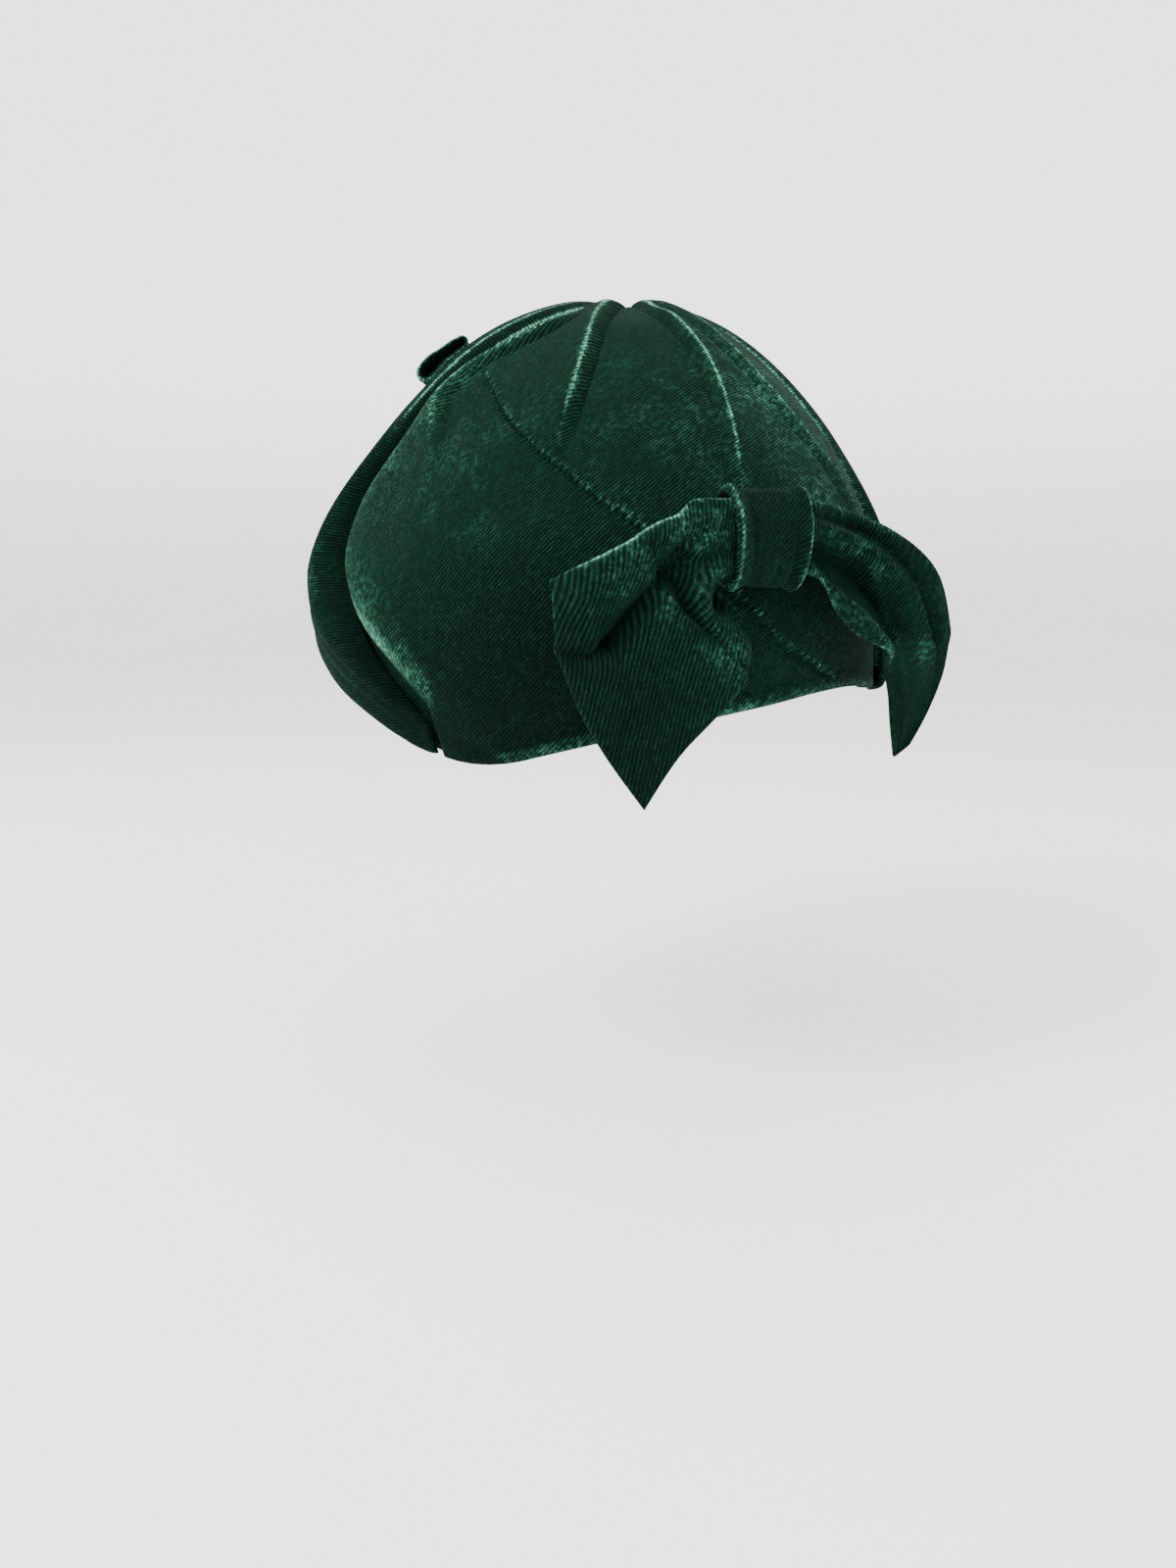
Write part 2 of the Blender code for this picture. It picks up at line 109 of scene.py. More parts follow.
# Pitches of the ribs
CROWN_PITCH = 0.00125
BRIM_PITCH = 0.00130
KNOT_PITCH = 0.00110
TAIL_PITCH = 0.00135

# Points of each piece's grid
CROWN_COLUMNS = 400
BRIM_GRID = (340, 104)
LOOP_GRID = (64, 150)
KNOT_GRID = (84, 210)
TAIL_GRID = (330, 120)
BRIM_LINE_POINTS = 353


def table(names, *rows):
    """Table with named columns, one row per section."""
    return {name: np.array(values, float) for name, values in zip(names.split(), zip(*rows))}


CROWN = table(
    "azimuth reach rim tuck",
    (0, 0.82, 20, 1.0),
    (25, 0.83, 13, 1.0),
    (45, 0.87, 0, 1.0),
    (65, 0.93, -14, 1.0),
    (90, 1.00, -26, 1.0),
    (118, 0.985, -43, 1.0),
    (146, 0.96, -33, 1.0),
    (175, 0.93, -26, 0.8),
    (205, 0.885, -22, 0.4),
    (235, 0.85, -27, 0.0),
    (270, 0.81, -19, 0.0),
    (300, 0.80, 3, 0.5),
    (330, 0.80, 17, 1.0),
)

# Pleats: line, height share, widths before and behind, groove behind, its depth
PLEATS = table(
    "azimuth_top azimuth_mid azimuth_low slope_top slope_low height before behind groove",
    (131, 139, 139, 88, 24, 1.00, 0.014, 0.0030, 0.0022),
    (171, 177, 175, 88, 12, 0.62, 0.0035, 0.010, 0.0016),
    (122, 102, 111, 68, 20, 0.80, 0.010, 0.0040, 0.0016),
    (183, 196, 214, 82, 6, 0.45, 0.006, 0.014, 0.0010),
)

SEAM = table(
    "azimuth slope",
    (108, 50),
    (112, 45),
    (119, 40),
    (128, 31),
    (136, 24),
    (149, 13),
    (175, -6),
    (182, -13),
    (199, -21),
)

BRIM = table(
    "edge_azimuth edge_slope rim_azimuth lift",
    (112, -31, 112, 0.00),
    (101, -21, 102, 0.50),
    (85, -6, 79, 1.08),
    (78, 10, 60, 1.12),
    (81, 28, 42, 0.76),
    (86, 42, 25, 0.59),
    (89, 57, 10, 0.60),
    (103, 75, -5, 0.44),
    (-30, 86, -20, 0.40),
    (218, 72, -37, 0.28),
    (226, 48, -57, 0.28),
    (227, 28, -78, 0.32),
    (227, 8, -100, 0.50),
    (227, -8, -119, 0.60),
    (227, -20, -131, 0.40),
)

BRIM_SECTION = table(
    "way lift",
    (0.000, 0.00),
    (0.012, 0.55),
    (0.050, 0.90),
    (0.130, 1.00),
    (0.250, 0.97),
    (0.380, 1.00),
    (0.510, 0.95),
    (0.640, 1.00),
    (0.770, 1.00),
    (0.880, 0.90),
    (0.960, 0.60),
    (1.000, 0.10),
)

LOOP = table(
    "slope lift",
    (50.3, 0.02),
    (47.6, 0.02),
    (45.4, 0.00),
    (44.3, 0.16),
    (43.8, 0.54),
    (44.3, 0.91),
    (45.4, 1.07),
    (47.6, 1.13),
    (50.3, 1.04),
    (53.0, 0.89),
    (55.1, 0.74),
    (55.9, 0.64),
    (56.3, 0.38),
    (55.9, 0.13),
    (55.1, 0.03),
    (53.0, 0.02),
)
LOOP_AZIMUTHS = (80, 46)

LEFT_TAIL = table(
    "top_along top_out top_up low_along low_out low_up belly",
    (0.002, 0.00, 0.12, 0.002, 0.00, -0.12, 0.00),
    (0.17, 0.00, 0.12, 0.17, 0.00, -0.12, 0.00),
    (0.27, -0.02, 0.115, 0.168, 0.035, -0.185, 0.00),
    (0.33, -0.02, 0.07, 0.105, 0.05, -0.28, 0.00),
    (0.41, -0.02, 0.04, 0.08, 0.05, -0.36, 0.00),
    (0.50, -0.03, -0.01, 0.10, 0.04, -0.46, 0.01),
    (0.59, -0.05, -0.06, 0.18, 0.02, -0.57, 0.03),
    (0.66, -0.09, -0.10, 0.30, 0.00, -0.70, 0.06),
    (0.70, -0.14, -0.13, 0.40, -0.04, -0.87, 0.08),
)
RIGHT_TAIL = table(
    "top_along top_out top_up low_along low_out low_up belly",
    (0.002, 0.00, 0.12, 0.002, 0.00, -0.12, 0.00),
    (0.17, 0.00, 0.12, 0.17, 0.00, -0.12, 0.00),
    (0.32, -0.05, 0.11, 0.27, 0.01, -0.23, 0.00),
    (0.53, -0.04, 0.04, 0.37, 0.00, -0.31, 0.00),
    (0.74, -0.07, -0.07, 0.52, -0.04, -0.38, 0.00),
    (0.89, -0.14, -0.22, 0.62, -0.10, -0.52, 0.00),
    (0.95, -0.19, -0.47, 0.68, -0.15, -0.66, 0.02),
    (0.82, -0.22, -0.75, 0.75, -0.21, -0.79, 0.00),
)

# Folds: the run through four points, height share, widths left and right of the run
LEFT_FOLDS = table(
    "x1 y1 x2 y2 x3 y3 x4 y4 height left right",
    (0.16, 0.070, 0.34, 0.035, 0.50, -0.05, 0.63, -0.17, 0.75, 0.090, 0.085),
    (0.31, -0.055, 0.382, -0.13, 0.453, -0.216, 0.531, -0.324, -0.95, 0.034, 0.030),
    (0.53, -0.335, 0.58, -0.36, 0.63, -0.365, 0.68, -0.345, -0.45, 0.022, 0.030),
    (0.15, 0.015, 0.235, -0.008, 0.305, -0.036, 0.355, -0.085, 0.50, 0.013, 0.060),
    (0.392, -0.135, 0.339, -0.225, 0.250, -0.300, 0.140, -0.395, 0.55, 0.170, 0.014),
    (0.15, -0.080, 0.245, -0.125, 0.235, -0.240, 0.125, -0.365, 0.80, 0.030, 0.052),
    (0.145, -0.150, 0.165, -0.160, 0.185, -0.185, 0.190, -0.215, -0.85, 0.030, 0.026),
    (0.335, -0.130, 0.315, -0.175, 0.285, -0.225, 0.225, -0.300, -0.40, 0.020, 0.030),
)
RIGHT_FOLDS = table(
    "x1 y1 x2 y2 x3 y3 x4 y4 height left right",
    (0.16, 0.045, 0.378, -0.005, 0.60, -0.150, 0.80, -0.380, 0.80, 0.018, 0.080),
    (0.20, 0.095, 0.45, 0.055, 0.75, -0.105, 0.90, -0.330, 0.30, 0.040, 0.040),
    (0.20, -0.035, 0.33, -0.090, 0.46, -0.180, 0.57, -0.290, -0.70, 0.050, 0.045),
    (0.16, -0.100, 0.27, -0.185, 0.41, -0.275, 0.53, -0.370, 0.75, 0.022, 0.045),
    (0.43, -0.100, 0.49, -0.170, 0.54, -0.250, 0.59, -0.330, 0.30, 0.022, 0.022),
    (0.24, 0.070, 0.45, 0.020, 0.68, -0.140, 0.86, -0.380, -0.22, 0.020, 0.016),
)

# Hems, and lines of painted light (above 0) and painted shade (below 0) beside an edge: strength
# or height, way in from the edge, width
HEM_COLUMNS = "strength place width"
CROWN_HEM = table(HEM_COLUMNS, (0.0005, 0.0030, 0.0022), (-0.0007, 0.0072, 0.0012))
KNOT_HEM = table(HEM_COLUMNS, (0.0006, 0.0022, 0.0016), (-0.0006, 0.0060, 0.0012))
CROWN_HEM_LIGHT = table(HEM_COLUMNS, (0.62, 0.0015, 0.0026))
BRIM_EDGE_LIGHT = table(HEM_COLUMNS, (0.85, 0.0016, 0.0018))
BRIM_RIM_LIGHT = table(HEM_COLUMNS, (0.45, 0.0, 0.003))
BRIM_ROLL_LIGHT = table(HEM_COLUMNS, (0.36, 0.021, 0.008))
BRIM_ROLL_SHADE = table(HEM_COLUMNS, (-0.90, 0.0, 0.009))
BRIM_FOLD_LIGHT = table(
    HEM_COLUMNS, (0.90, 0.0080, 0.0013), (0.75, 0.0028, 0.0010), (-0.70, 0.0054, 0.0012)
)
LOOP_HEM_LIGHT = table(HEM_COLUMNS, (0.80, 0.0012, 0.0016))
KNOT_HEM_LIGHT = table(HEM_COLUMNS, (0.76, 0.0012, 0.0013))
TAIL_HEM_LIGHT = table(HEM_COLUMNS, (0.56, 0.0007, 0.0010))

# Patches of painted sheen on the crown: middle and width both ways, strength
CROWN_SHEEN_PATCHES = table(
    "azimuth azimuth_width slope slope_width strength",
    (118, 20, 22, 20, 0.14),
    (196, 19, 34, 26, 0.62),
    (160, 12, 46, 18, 0.20),
)

# Unevenness of each cloth: height, size and seed of a grain
GRAIN_COLUMNS = "height size seed"
CROWN_GRAIN = table(GRAIN_COLUMNS, (0.00055, 0.075, 5), (0.00022, 0.026, 8))
BRIM_GRAIN = table(GRAIN_COLUMNS, (0.0009, 0.085, 21), (0.0003, 0.030, 22))
LOOP_GRAIN = table(GRAIN_COLUMNS, (0.0003, 0.020, 31))
KNOT_GRAIN = table(GRAIN_COLUMNS, (0.0003, 0.018, 41))
TAIL_GRAIN = table(GRAIN_COLUMNS, (0.0004, 0.030, 51))
GRAIN_WAVES = 7
GRAIN_SCALE = 3.2

# Noises of the pile: scale, detail, roughness, distortion
PILE_NOISES = {
    "shift": (130.0, 2.0, 0.5, 0.0),
    "fuzz": (2400.0, 2.0, 0.7, 0.0),
    "tuft": (560.0, 3.0, 0.75, 0.0),
    "cloud": (30.0, 4.0, 0.62, 0.6),
    "patch": (80.0, 5.0, 0.7, 0.4),
}
STRAND_NOISE = (1.0, 3.0, 0.6, 0.0)
STRAND_ACROSS = 2.4
STRAND_LENGTHWAYS = 260.0
RIB_WANDER = 0.25
RIB_SHARPNESS = 1.7
PILE_SPECULAR = 0.04
PILE_SHEEN_ROUGHNESS = 0.30
BUMP_STRENGTH = 0.9

# Camera, floor and air of the studio
LENS = 27.0
SENSOR_HEIGHT = 36.0
CLIP_START = 0.01
FLOOR_RADIUS = 2.6
FLOOR_BEND = 0.8
WALL_HEIGHT = 4.0
AIM_HEIGHT = -0.09
# Lights: name, place to the picture's left, up and nearer, size, energy, colour
STUDIO_LIGHTS = (
    ("window_light", 0.95, 0.85, 0.65, 0.6, 34.0, (1.0, 0.99, 0.97)),
    ("fill_light", -1.0, 0.45, 0.60, 0.8, 9.0, (0.98, 0.99, 1.0)),
    ("top_light", 0.1, 1.25, -0.15, 0.9, 13.0, (1.0, 1.0, 1.0)),
)
AIR_COLOUR = (0.96, 0.98, 1.0, 1.0)
AIR_STRENGTH = 0.95


def smooth_step(value, start, stop):
    """Ease from 0 at start to 1 at stop: three times the square less twice the cube."""
    share = np.clip((value - start) / (stop - start), 0.0, 1.0)
    return share * share * (3.0 - 2.0 * share)


def bell(value, width):
    """Bell of height 1 that falls off with the square of value over width."""
    return np.exp(-(value / width) ** 2)


def round_value(azimuth, rows, name):
    """Column of a closed table at any azimuth, averaged over RING_BLEND degrees each way."""
    spread = np.linspace(-1.0, 1.0, 9) * RING_BLEND
    places = np.asarray(azimuth)[..., None] + spread
    return np.interp(places, rows["azimuth"], rows[name], period=360.0).mean(axis=-1)


def along(position, values):
    """Cubic through equally spaced values, whose slope at each is that of its neighbours."""
    values = np.asarray(values, float)
    last = len(values) - 1
    place = np.clip(position, 0.0, 1.0) * last
    first = np.clip(np.floor(place).astype(int), 0, last - 1)
    part = place - first
    part = part.reshape(part.shape + (1,) * (values.ndim - 1))
    before = values[np.maximum(first - 1, 0)]
    start = values[first]
    stop = values[first + 1]
    after = values[np.minimum(first + 2, last)]
    return start + 0.5 * part * (
        stop - before
        + part * (2 * before - 5 * start + 4 * stop - after
                  + part * (3 * (start - stop) + after - before))
    )


def form(azimuth, slope, lift):
    """Points on the crown's form: an ellipse whose flanks are drawn flatter by a cone, swept
    round the head with the reach of its azimuth, a lift outside it."""
    azimuth, slope, lift = np.broadcast_arrays(azimuth, slope, lift)
    turn = np.radians(azimuth)
    tilt = np.radians(slope)
    up = np.maximum(tilt, 0.0)
    share = np.clip(slope, 0.0, 90.0) / 90.0
    cone = 1.0 - CROWN_CONE * CONE_SCALE * share**CONE_POWER * (1.0 - share) ** 2
    reach = round_value(azimuth, CROWN, "reach") * CROWN_REACH
    tuck = round_value(azimuth, CROWN, "tuck") * CROWN_TUCK
    tuck = 1.0 - tuck * np.sin(np.minimum(tilt, 0.0)) ** 2
    out = reach * np.cos(up) * cone * tuck + lift * np.cos(up)
    height = CROWN_RISE * np.sin(tilt) * cone + lift * np.sin(up)
    return np.stack((out * np.sin(turn), -out * np.cos(turn), CENTRE_HEIGHT + height), axis=-1)


def direction(azimuth, slope):
    """Unit directions for azimuths and slopes."""
    turn, tilt = np.radians(azimuth), np.radians(slope)
    return np.stack(
        (np.sin(turn) * np.cos(tilt), -np.cos(turn) * np.cos(tilt), np.sin(tilt) + 0.0 * turn),
        axis=-1,
    )


def around(azimuth, middle):
    """Angle from a middle azimuth, between -180 and 180."""
    return (azimuth - middle + 180.0) % 360.0 - 180.0


def brim_lines(position):
    """Directions of the brim's folded edge and of its rim, at positions along it."""
    edge = along(position, direction(BRIM["edge_azimuth"], BRIM["edge_slope"]))
    edge /= np.linalg.norm(edge, axis=-1, keepdims=True)
    rim_azimuth = along(position, BRIM["rim_azimuth"])
    return edge, direction(rim_azimuth, round_value(rim_azimuth, CROWN, "rim"))


def inside_brim(azimuth, slope):
    """Distances inside the brim's folded edge and beyond its ends, in metres: the nearest
    point of the edge line is found, and the way from it is split into parts."""
    edge, rim = brim_lines(np.linspace(0.0, 1.0, BRIM_LINE_POINTS))
    run = np.gradient(edge, axis=0)
    run /= np.linalg.norm(run, axis=-1, keepdims=True)
    inward = np.cross(edge, run)
    inward *= np.sign((inward * (rim - edge)).sum(axis=-1, keepdims=True))
    heading = direction(azimuth + 0.0 * slope, slope + 0.0 * azimuth)
    nearest = np.argmax(heading @ edge.T, axis=-1)
    away = (heading - edge[nearest]) * CROWN_REACH
    inside = (away * inward[nearest]).sum(axis=-1)
    beyond = []
    for end, within in ((0, len(edge) // 8), (-1, -len(edge) // 8)):
        out = np.cross(edge[end], rim[end] - edge[end])
        out *= -np.sign(out @ (edge[within] - edge[end])) / np.linalg.norm(out)
        beyond.append((heading - edge[end]) @ out * CROWN_REACH)
    beyond = np.select(
        (nearest < len(edge) // 5, nearest > 4 * len(edge) // 5), beyond, default=0.0
    )
    return inside, beyond


def bells(value, rows):
    """Sum of bells at the places of a table, each with its strength and width."""
    return sum(
        strength * bell(value - place, width) for strength, place, width in zip(*rows.values())
    )


def grain(points, rows):
    """Gentle unevenness: for each row, its height times a sum of sines in fixed, unlike
    directions, whose wave lengths lie round its size."""
    total = np.zeros(points.shape[:-1])
    for height, size, seed in zip(*rows.values()):
        random = np.random.default_rng(int(seed))
        waves = np.zeros(points.shape[:-1])
        for _ in range(GRAIN_WAVES):
            heading = random.normal(size=3)
            heading *= 2.0 * math.pi / size / np.linalg.norm(heading) * random.uniform(0.7, 1.5)
            waves += np.sin(points @ heading + random.uniform(0.0, 6.28))
        total += height * waves / GRAIN_SCALE
    return total


def ring_distance(heading, azimuth, slope):
    """Distance over the head from a fixed direction: radius times the angle between them."""
    pole = direction(np.float64(azimuth), np.float64(slope))
    return CROWN_REACH * np.arccos(np.clip(heading @ pole, -1.0, 1.0))


def closed_cloth(name, points, front, back, flat, light, ring=False, pole=False):
    """Closed sheet round a grid of points: the front lies a distance along the normal and the
    back a distance against it; where both are 0 at a free edge, the faces share it."""
    rows, columns = points.shape[:2]
    if ring:
        wide = np.concatenate((points[:, -1:], points, points[:, :1]), axis=1)
        over = np.gradient(wide, axis=1)[:, 1:-1]
    else:
        over = np.gradient(points, axis=1)
    down = np.gradient(points, axis=0)
    normal = np.cross(over, down)
    if pole:
        normal[0] = normal[1].mean(axis=0)
    normal /= np.maximum(np.linalg.norm(normal, axis=-1, keepdims=True), 1e-12)
    faces_front = points + normal * front[..., None]
    faces_back = points - normal * back[..., None]
    index = np.arange(rows * columns).reshape(rows, columns)
    under = index + rows * columns
    for at in ([0, -1] if not pole else [-1]):
        under[at] = index[at]
    if not ring:
        under[:, 0] = index[:, 0]
        under[:, -1] = index[:, -1]
    if pole:
        index[0] = index[0, 0]
        under[0] = under[0, 0]
    corner = np.arange(rows * (columns + 1)).reshape(rows, columns + 1)
    quads, tags = [], []
    for side, grid in ((0, index), (1, under)):
        if ring:
            grid = np.concatenate((grid, grid[:, :1]), axis=1)
        last = grid.shape[1] - 1
        block = np.stack(
            (grid[:-1, :last], grid[:-1, 1:], grid[1:, 1:], grid[1:, :last]), axis=-1
        ).reshape(-1, 4)
        tag = corner[:, :last + 1]
        mark = np.stack(
            (tag[:-1, :last], tag[:-1, 1:], tag[1:, 1:], tag[1:, :last]), axis=-1
        ).reshape(-1, 4)
        if side:
            block, mark = block[:, ::-1], mark[:, ::-1]
        quads.append(block)
        tags.append(mark)
    quads, tags = np.concatenate(quads), np.concatenate(tags)
    vertices = np.concatenate((faces_front.reshape(-1, 3), faces_back.reshape(-1, 3)))
    shown = np.concatenate((light.ravel(), light.ravel() * 0.0))
    used, quads = np.unique(quads, return_inverse=True)
    quads = quads.reshape(-1, 4)
    twice = quads == np.roll(quads, -1, axis=1)
    whole = ~twice.any(axis=1)
    bent = twice.sum(axis=1) == 1
    three = quads[bent][~twice[bent]].reshape(-1, 3)
    three_tags = tags[bent][~twice[bent]].reshape(-1, 3)
    loops = np.concatenate((quads[whole].ravel(), three.ravel()))
    marks = np.concatenate((tags[whole].ravel(), three_tags.ravel()))
    count, less = whole.sum(), len(three)
    starts = np.concatenate((np.arange(count) * 4, count * 4 + np.arange(less) * 3))
    mesh = bpy.data.meshes.new(name)
    mesh.vertices.add(len(used))
    mesh.vertices.foreach_set("co", vertices[used].astype(np.float32).ravel())
    mesh.loops.add(len(loops))
    mesh.loops.foreach_set("vertex_index", loops.astype(np.int32))
    mesh.polygons.add(count + less)
    mesh.polygons.foreach_set("loop_start", starts.astype(np.int32))
    mesh.polygons.foreach_set("use_smooth", np.ones(count + less, bool))
    mesh.update(calc_edges=True)
    mesh.validate()
    if ring and flat.shape[1] == columns:
        raise ValueError(f"{name}: a ring's flat places need one more column")
    if not ring:
        flat = np.concatenate((flat, flat[:, -1:]), axis=1)
    layer = mesh.uv_layers.new(name="cloth")
    layer.data.foreach_set("uv", flat.reshape(-1, 2)[marks].astype(np.float32).ravel())
    painted_light = mesh.attributes.new("painted_light", "FLOAT", "POINT")
    painted_light.data.foreach_set("value", shown[used].astype(np.float32))
    piece = bpy.data.objects.new(name, mesh)
    bpy.context.scene.collection.objects.link(piece)
    return piece


def half_wall(away, wall, hem, reach=0.0045):
    """Half thickness at a distance from a free edge: a quarter circle at the edge itself and
    a hem, thicker by a share, that fades with the distance."""
    near = np.clip(away / (wall * 0.75), 0.0, 1.0)
    rounded = np.sqrt(np.clip(1.0 - (1.0 - near) ** 2, 0.0, 1.0))
    return wall / 2 * rounded * (1.0 + hem * (1.0 - smooth_step(away, reach * 0.6, reach)))


def edge_grid(count, share):
    """Places from 0 to 1, closer together near both ends by a share."""
    even = np.linspace(0.0, 1.0, count)
    return even - share * np.sin(2.0 * math.pi * even) / (2.0 * math.pi)


def run_length(points, axis):
    """Length travelled along an axis of a grid of points, up to each of them."""
    steps = np.linalg.norm(np.diff(points, axis=axis), axis=-1)
    start = np.zeros_like(np.take(steps, [0], axis=axis))
    return np.concatenate((start, np.cumsum(steps, axis=axis)), axis=axis)


def grid_area(points, ring=False):
    """Area of a grid of points: half the cross product of each cell's diagonals, summed."""
    if ring:
        points = np.concatenate((points, points[:, :1]), axis=1)
    one = points[1:, 1:] - points[:-1, :-1]
    other = points[1:, :-1] - points[:-1, 1:]
    return float(np.linalg.norm(np.cross(one, other), axis=-1).sum() / 2)


class Value:
    """Socket of a material with arithmetic: an expression adds Math nodes."""

    def __init__(self, tree, socket):
        self.tree = tree
        self.socket = socket

    def math(self, operation, *others):
        node = self.tree.add("ShaderNodeMath", {"operation": operation})
        for slot, item in enumerate((self, *others)):
            self.tree.feed(node.inputs[slot], item)
        return Value(self.tree, node.outputs[0])

    def __add__(self, other):
        return self.math("ADD", other)

    def __radd__(self, other):
        return self.math("ADD", other)

    def __sub__(self, other):
        return self.math("SUBTRACT", other)

    def __rsub__(self, other):
        return (self * -1.0) + other

    def __mul__(self, other):
        return self.math("MULTIPLY", other)

    def __rmul__(self, other):
        return self.math("MULTIPLY", other)

    def __pow__(self, other):
        return self.math("POWER", other)

    def sine(self):
        return self.math("SINE")

    def limit(self):
        return self.math("MAXIMUM", 0.0).math("MINIMUM", 1.0)

    def ramp(self, start, stop):
        """Smooth rise from 0 at start to 1 at stop."""
        node = self.tree.add(
            "ShaderNodeMapRange", {"interpolation_type": "SMOOTHSTEP"},
            {"Value": self, "From Min": start, "From Max": stop},
        )
        return Value(self.tree, node.outputs["Result"])


class Tree:
    """Node tree of a new material, with one method for any node."""

    def __init__(self, name):
        self.material = bpy.data.materials.new(name)
        self.material.use_nodes = True
        self.nodes = self.material.node_tree.nodes
        self.links = self.material.node_tree.links
        self.shader = self.nodes["Principled BSDF"]

    def feed(self, socket, item):
        if isinstance(item, Value):
            self.links.new(item.socket, socket)
        elif isinstance(item, bpy.types.NodeSocket):
            self.links.new(item, socket)
        else:
            socket.default_value = item

    def add(self, kind, settings=None, sockets=None):
        node = self.nodes.new(kind)
        for key, value in (settings or {}).items():
            setattr(node, key, value)
        for key, value in (sockets or {}).items():
            self.feed(node.inputs[key], value)
        return node

    def noise(self, place, scale, detail, roughness, distortion):
        node = self.add("ShaderNodeTexNoise", {}, {
            "Vector": place, "Scale": scale, "Detail": detail, "Roughness": roughness,
            "Distortion": distortion,
        })
        return Value(self, node.outputs["Fac"])

    def mix(self, factor, first, second):
        """Colour between two colours."""
        node = self.add("ShaderNodeMix", {"data_type": "RGBA"})
        colours = [socket for socket in node.inputs if socket.type == "RGBA"]
        self.feed(node.inputs[0], factor)
        for socket, item in zip(colours, (first, second)):
            self.feed(socket, item)
        return next(socket for socket in node.outputs if socket.type == "RGBA")


def rgba(colour):
    return (colour[0], colour[1], colour[2], 1.0)


def velvet(name, pitch, ribs, painted_sheen):
    """Ribbed velvet on the piece's own flat places: ribs are a power of a sine across them at a
    pitch, and a point attribute holds painted light and sheen (above 0) and painted shade (below
    0), which mix in the painted sheen, painted highlight and shade colours; grains of noise break
    up both."""
    looks = bpy.context.scene.hat_looks
    tree = Tree(name)
    flat = tree.add("ShaderNodeUVMap", {"uv_map": "cloth"}).outputs["UV"]
    place = tree.add("ShaderNodeTexCoord").outputs["Object"]
    parts = tree.add("ShaderNodeSeparateXYZ", {}, {"Vector": flat})
    across = Value(tree, parts.outputs["X"])
    # Painted light and sheen above 0, painted shade below 0, read from the point attribute
    painted_light_level = Value(tree, tree.add("ShaderNodeAttribute", {"attribute_name": "painted_light"}).outputs["Fac"])
    lit = painted_light_level.limit()
    painted_shade_share = (painted_light_level * -1.0).limit()
    shift, fuzz, tuft, cloud, patch = (
        tree.noise(place, *PILE_NOISES[key]) for key in ("shift", "fuzz", "tuft", "cloud", "patch")
    )
    drift = (shift - 0.5) * (RIB_WANDER * pitch * 2.0)
    wave = ((across + drift) * (2.0 * math.pi / pitch)).sine() * 0.5 + 0.5
    ridge = wave ** RIB_SHARPNESS
    drawn = tree.add("ShaderNodeMapping", {"vector_type": "POINT"}, {
        "Vector": flat, "Scale": (1.0 / pitch * STRAND_ACROSS, STRAND_LENGTHWAYS, 1.0),
    }).outputs["Vector"]
    strand = tree.noise(drawn, *STRAND_NOISE)
    grains = fuzz.ramp(0.40, 0.64) * 0.35 + tuft.ramp(0.45, 0.59) * 0.65
    bloom = (cloud * 0.45 + patch * 0.6).ramp(0.45, 0.70)
    # Share of painted sheen where the painted light is, with a little in random cloudy patches all
    # over, then broken into grains
    painted_sheen_share = (lit ** 3.0 * painted_sheen + lit * bloom * 1.15 + bloom * 0.04).limit()
    painted_light = (painted_sheen_share * (0.02 + 2.00 * grains ** 1.8)).limit()
    # Pale lint-like specks, made stronger in the painted sheen and left out of the painted shade
    speck = tuft.ramp(0.60, 0.74) * fuzz.ramp(0.52, 0.72)
    ribbed = ridge * (0.40 + 0.60 * strand.ramp(0.30, 0.70)) * (0.50 + 0.50 * grains)
    # Rib tops in the velvet colour and grooves in the shade colour: partly the ribbed cloth's own
    # look, partly painted shade in the grooves; the painted shade darkens further towards the
    # shade colour
    shown = (ribbed * ribs + 0.10 * grains) * (1.0 - painted_shade_share * 0.85)
    ground = tree.mix(shown.limit(), rgba(looks.shade), rgba(looks.velvet))
    # Painted sheen and lint specks, mixed in the painted sheen colour
    sheen_and_lint_share = painted_light * (0.45 + 0.55 * ridge) + speck * (0.20 + 0.35 * painted_sheen_share) * (1.0 - painted_shade_share)
    colour = tree.mix(sheen_and_lint_share.limit(), ground, rgba(looks.painted_sheen))
    # Painted highlight on the strongest painted light, in the painted highlight colour
    tips = lit.ramp(0.60, 1.0) * (0.15 + 0.85 * grains) * (0.40 + 0.60 * ridge)
    tree.feed(tree.shader.inputs["Base Color"], tree.mix(tips.limit(), colour, rgba(looks.painted_highlight)))
    tree.feed(tree.shader.inputs["Roughness"], (0.95 - painted_light * 0.20).limit())
    height = wave * 0.8 + strand * 0.30 + fuzz * 0.45 + tuft * 0.30
    bump = tree.add("ShaderNodeBump", {}, {
        "Strength": BUMP_STRENGTH, "Distance": looks.rib_depth, "Height": height,
    })
    tree.feed(tree.shader.inputs["Normal"], bump.outputs["Normal"])
    tree.feed(tree.shader.inputs["Specular IOR Level"], PILE_SPECULAR)
    tree.feed(tree.shader.inputs["Sheen Weight"], looks.sheen)
    tree.feed(tree.shader.inputs["Sheen Roughness"], PILE_SHEEN_ROUGHNESS)
    tree.feed(tree.shader.inputs["Sheen Tint"], rgba(looks.sheen_colour))
    return tree.material


def dress(piece, material, node, area):
    """Give a piece its material, hang it from the root and hide the model's part that it takes the
    place of.
    """
    piece.data.materials.append(material)
    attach(piece, "root")
    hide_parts(node)


def seam_slope(azimuth):
    """Slope of the slanting seam at an azimuth, or far away where there is none."""
    return np.interp(azimuth, SEAM["azimuth"], SEAM["slope"], left=400.0, right=400.0)


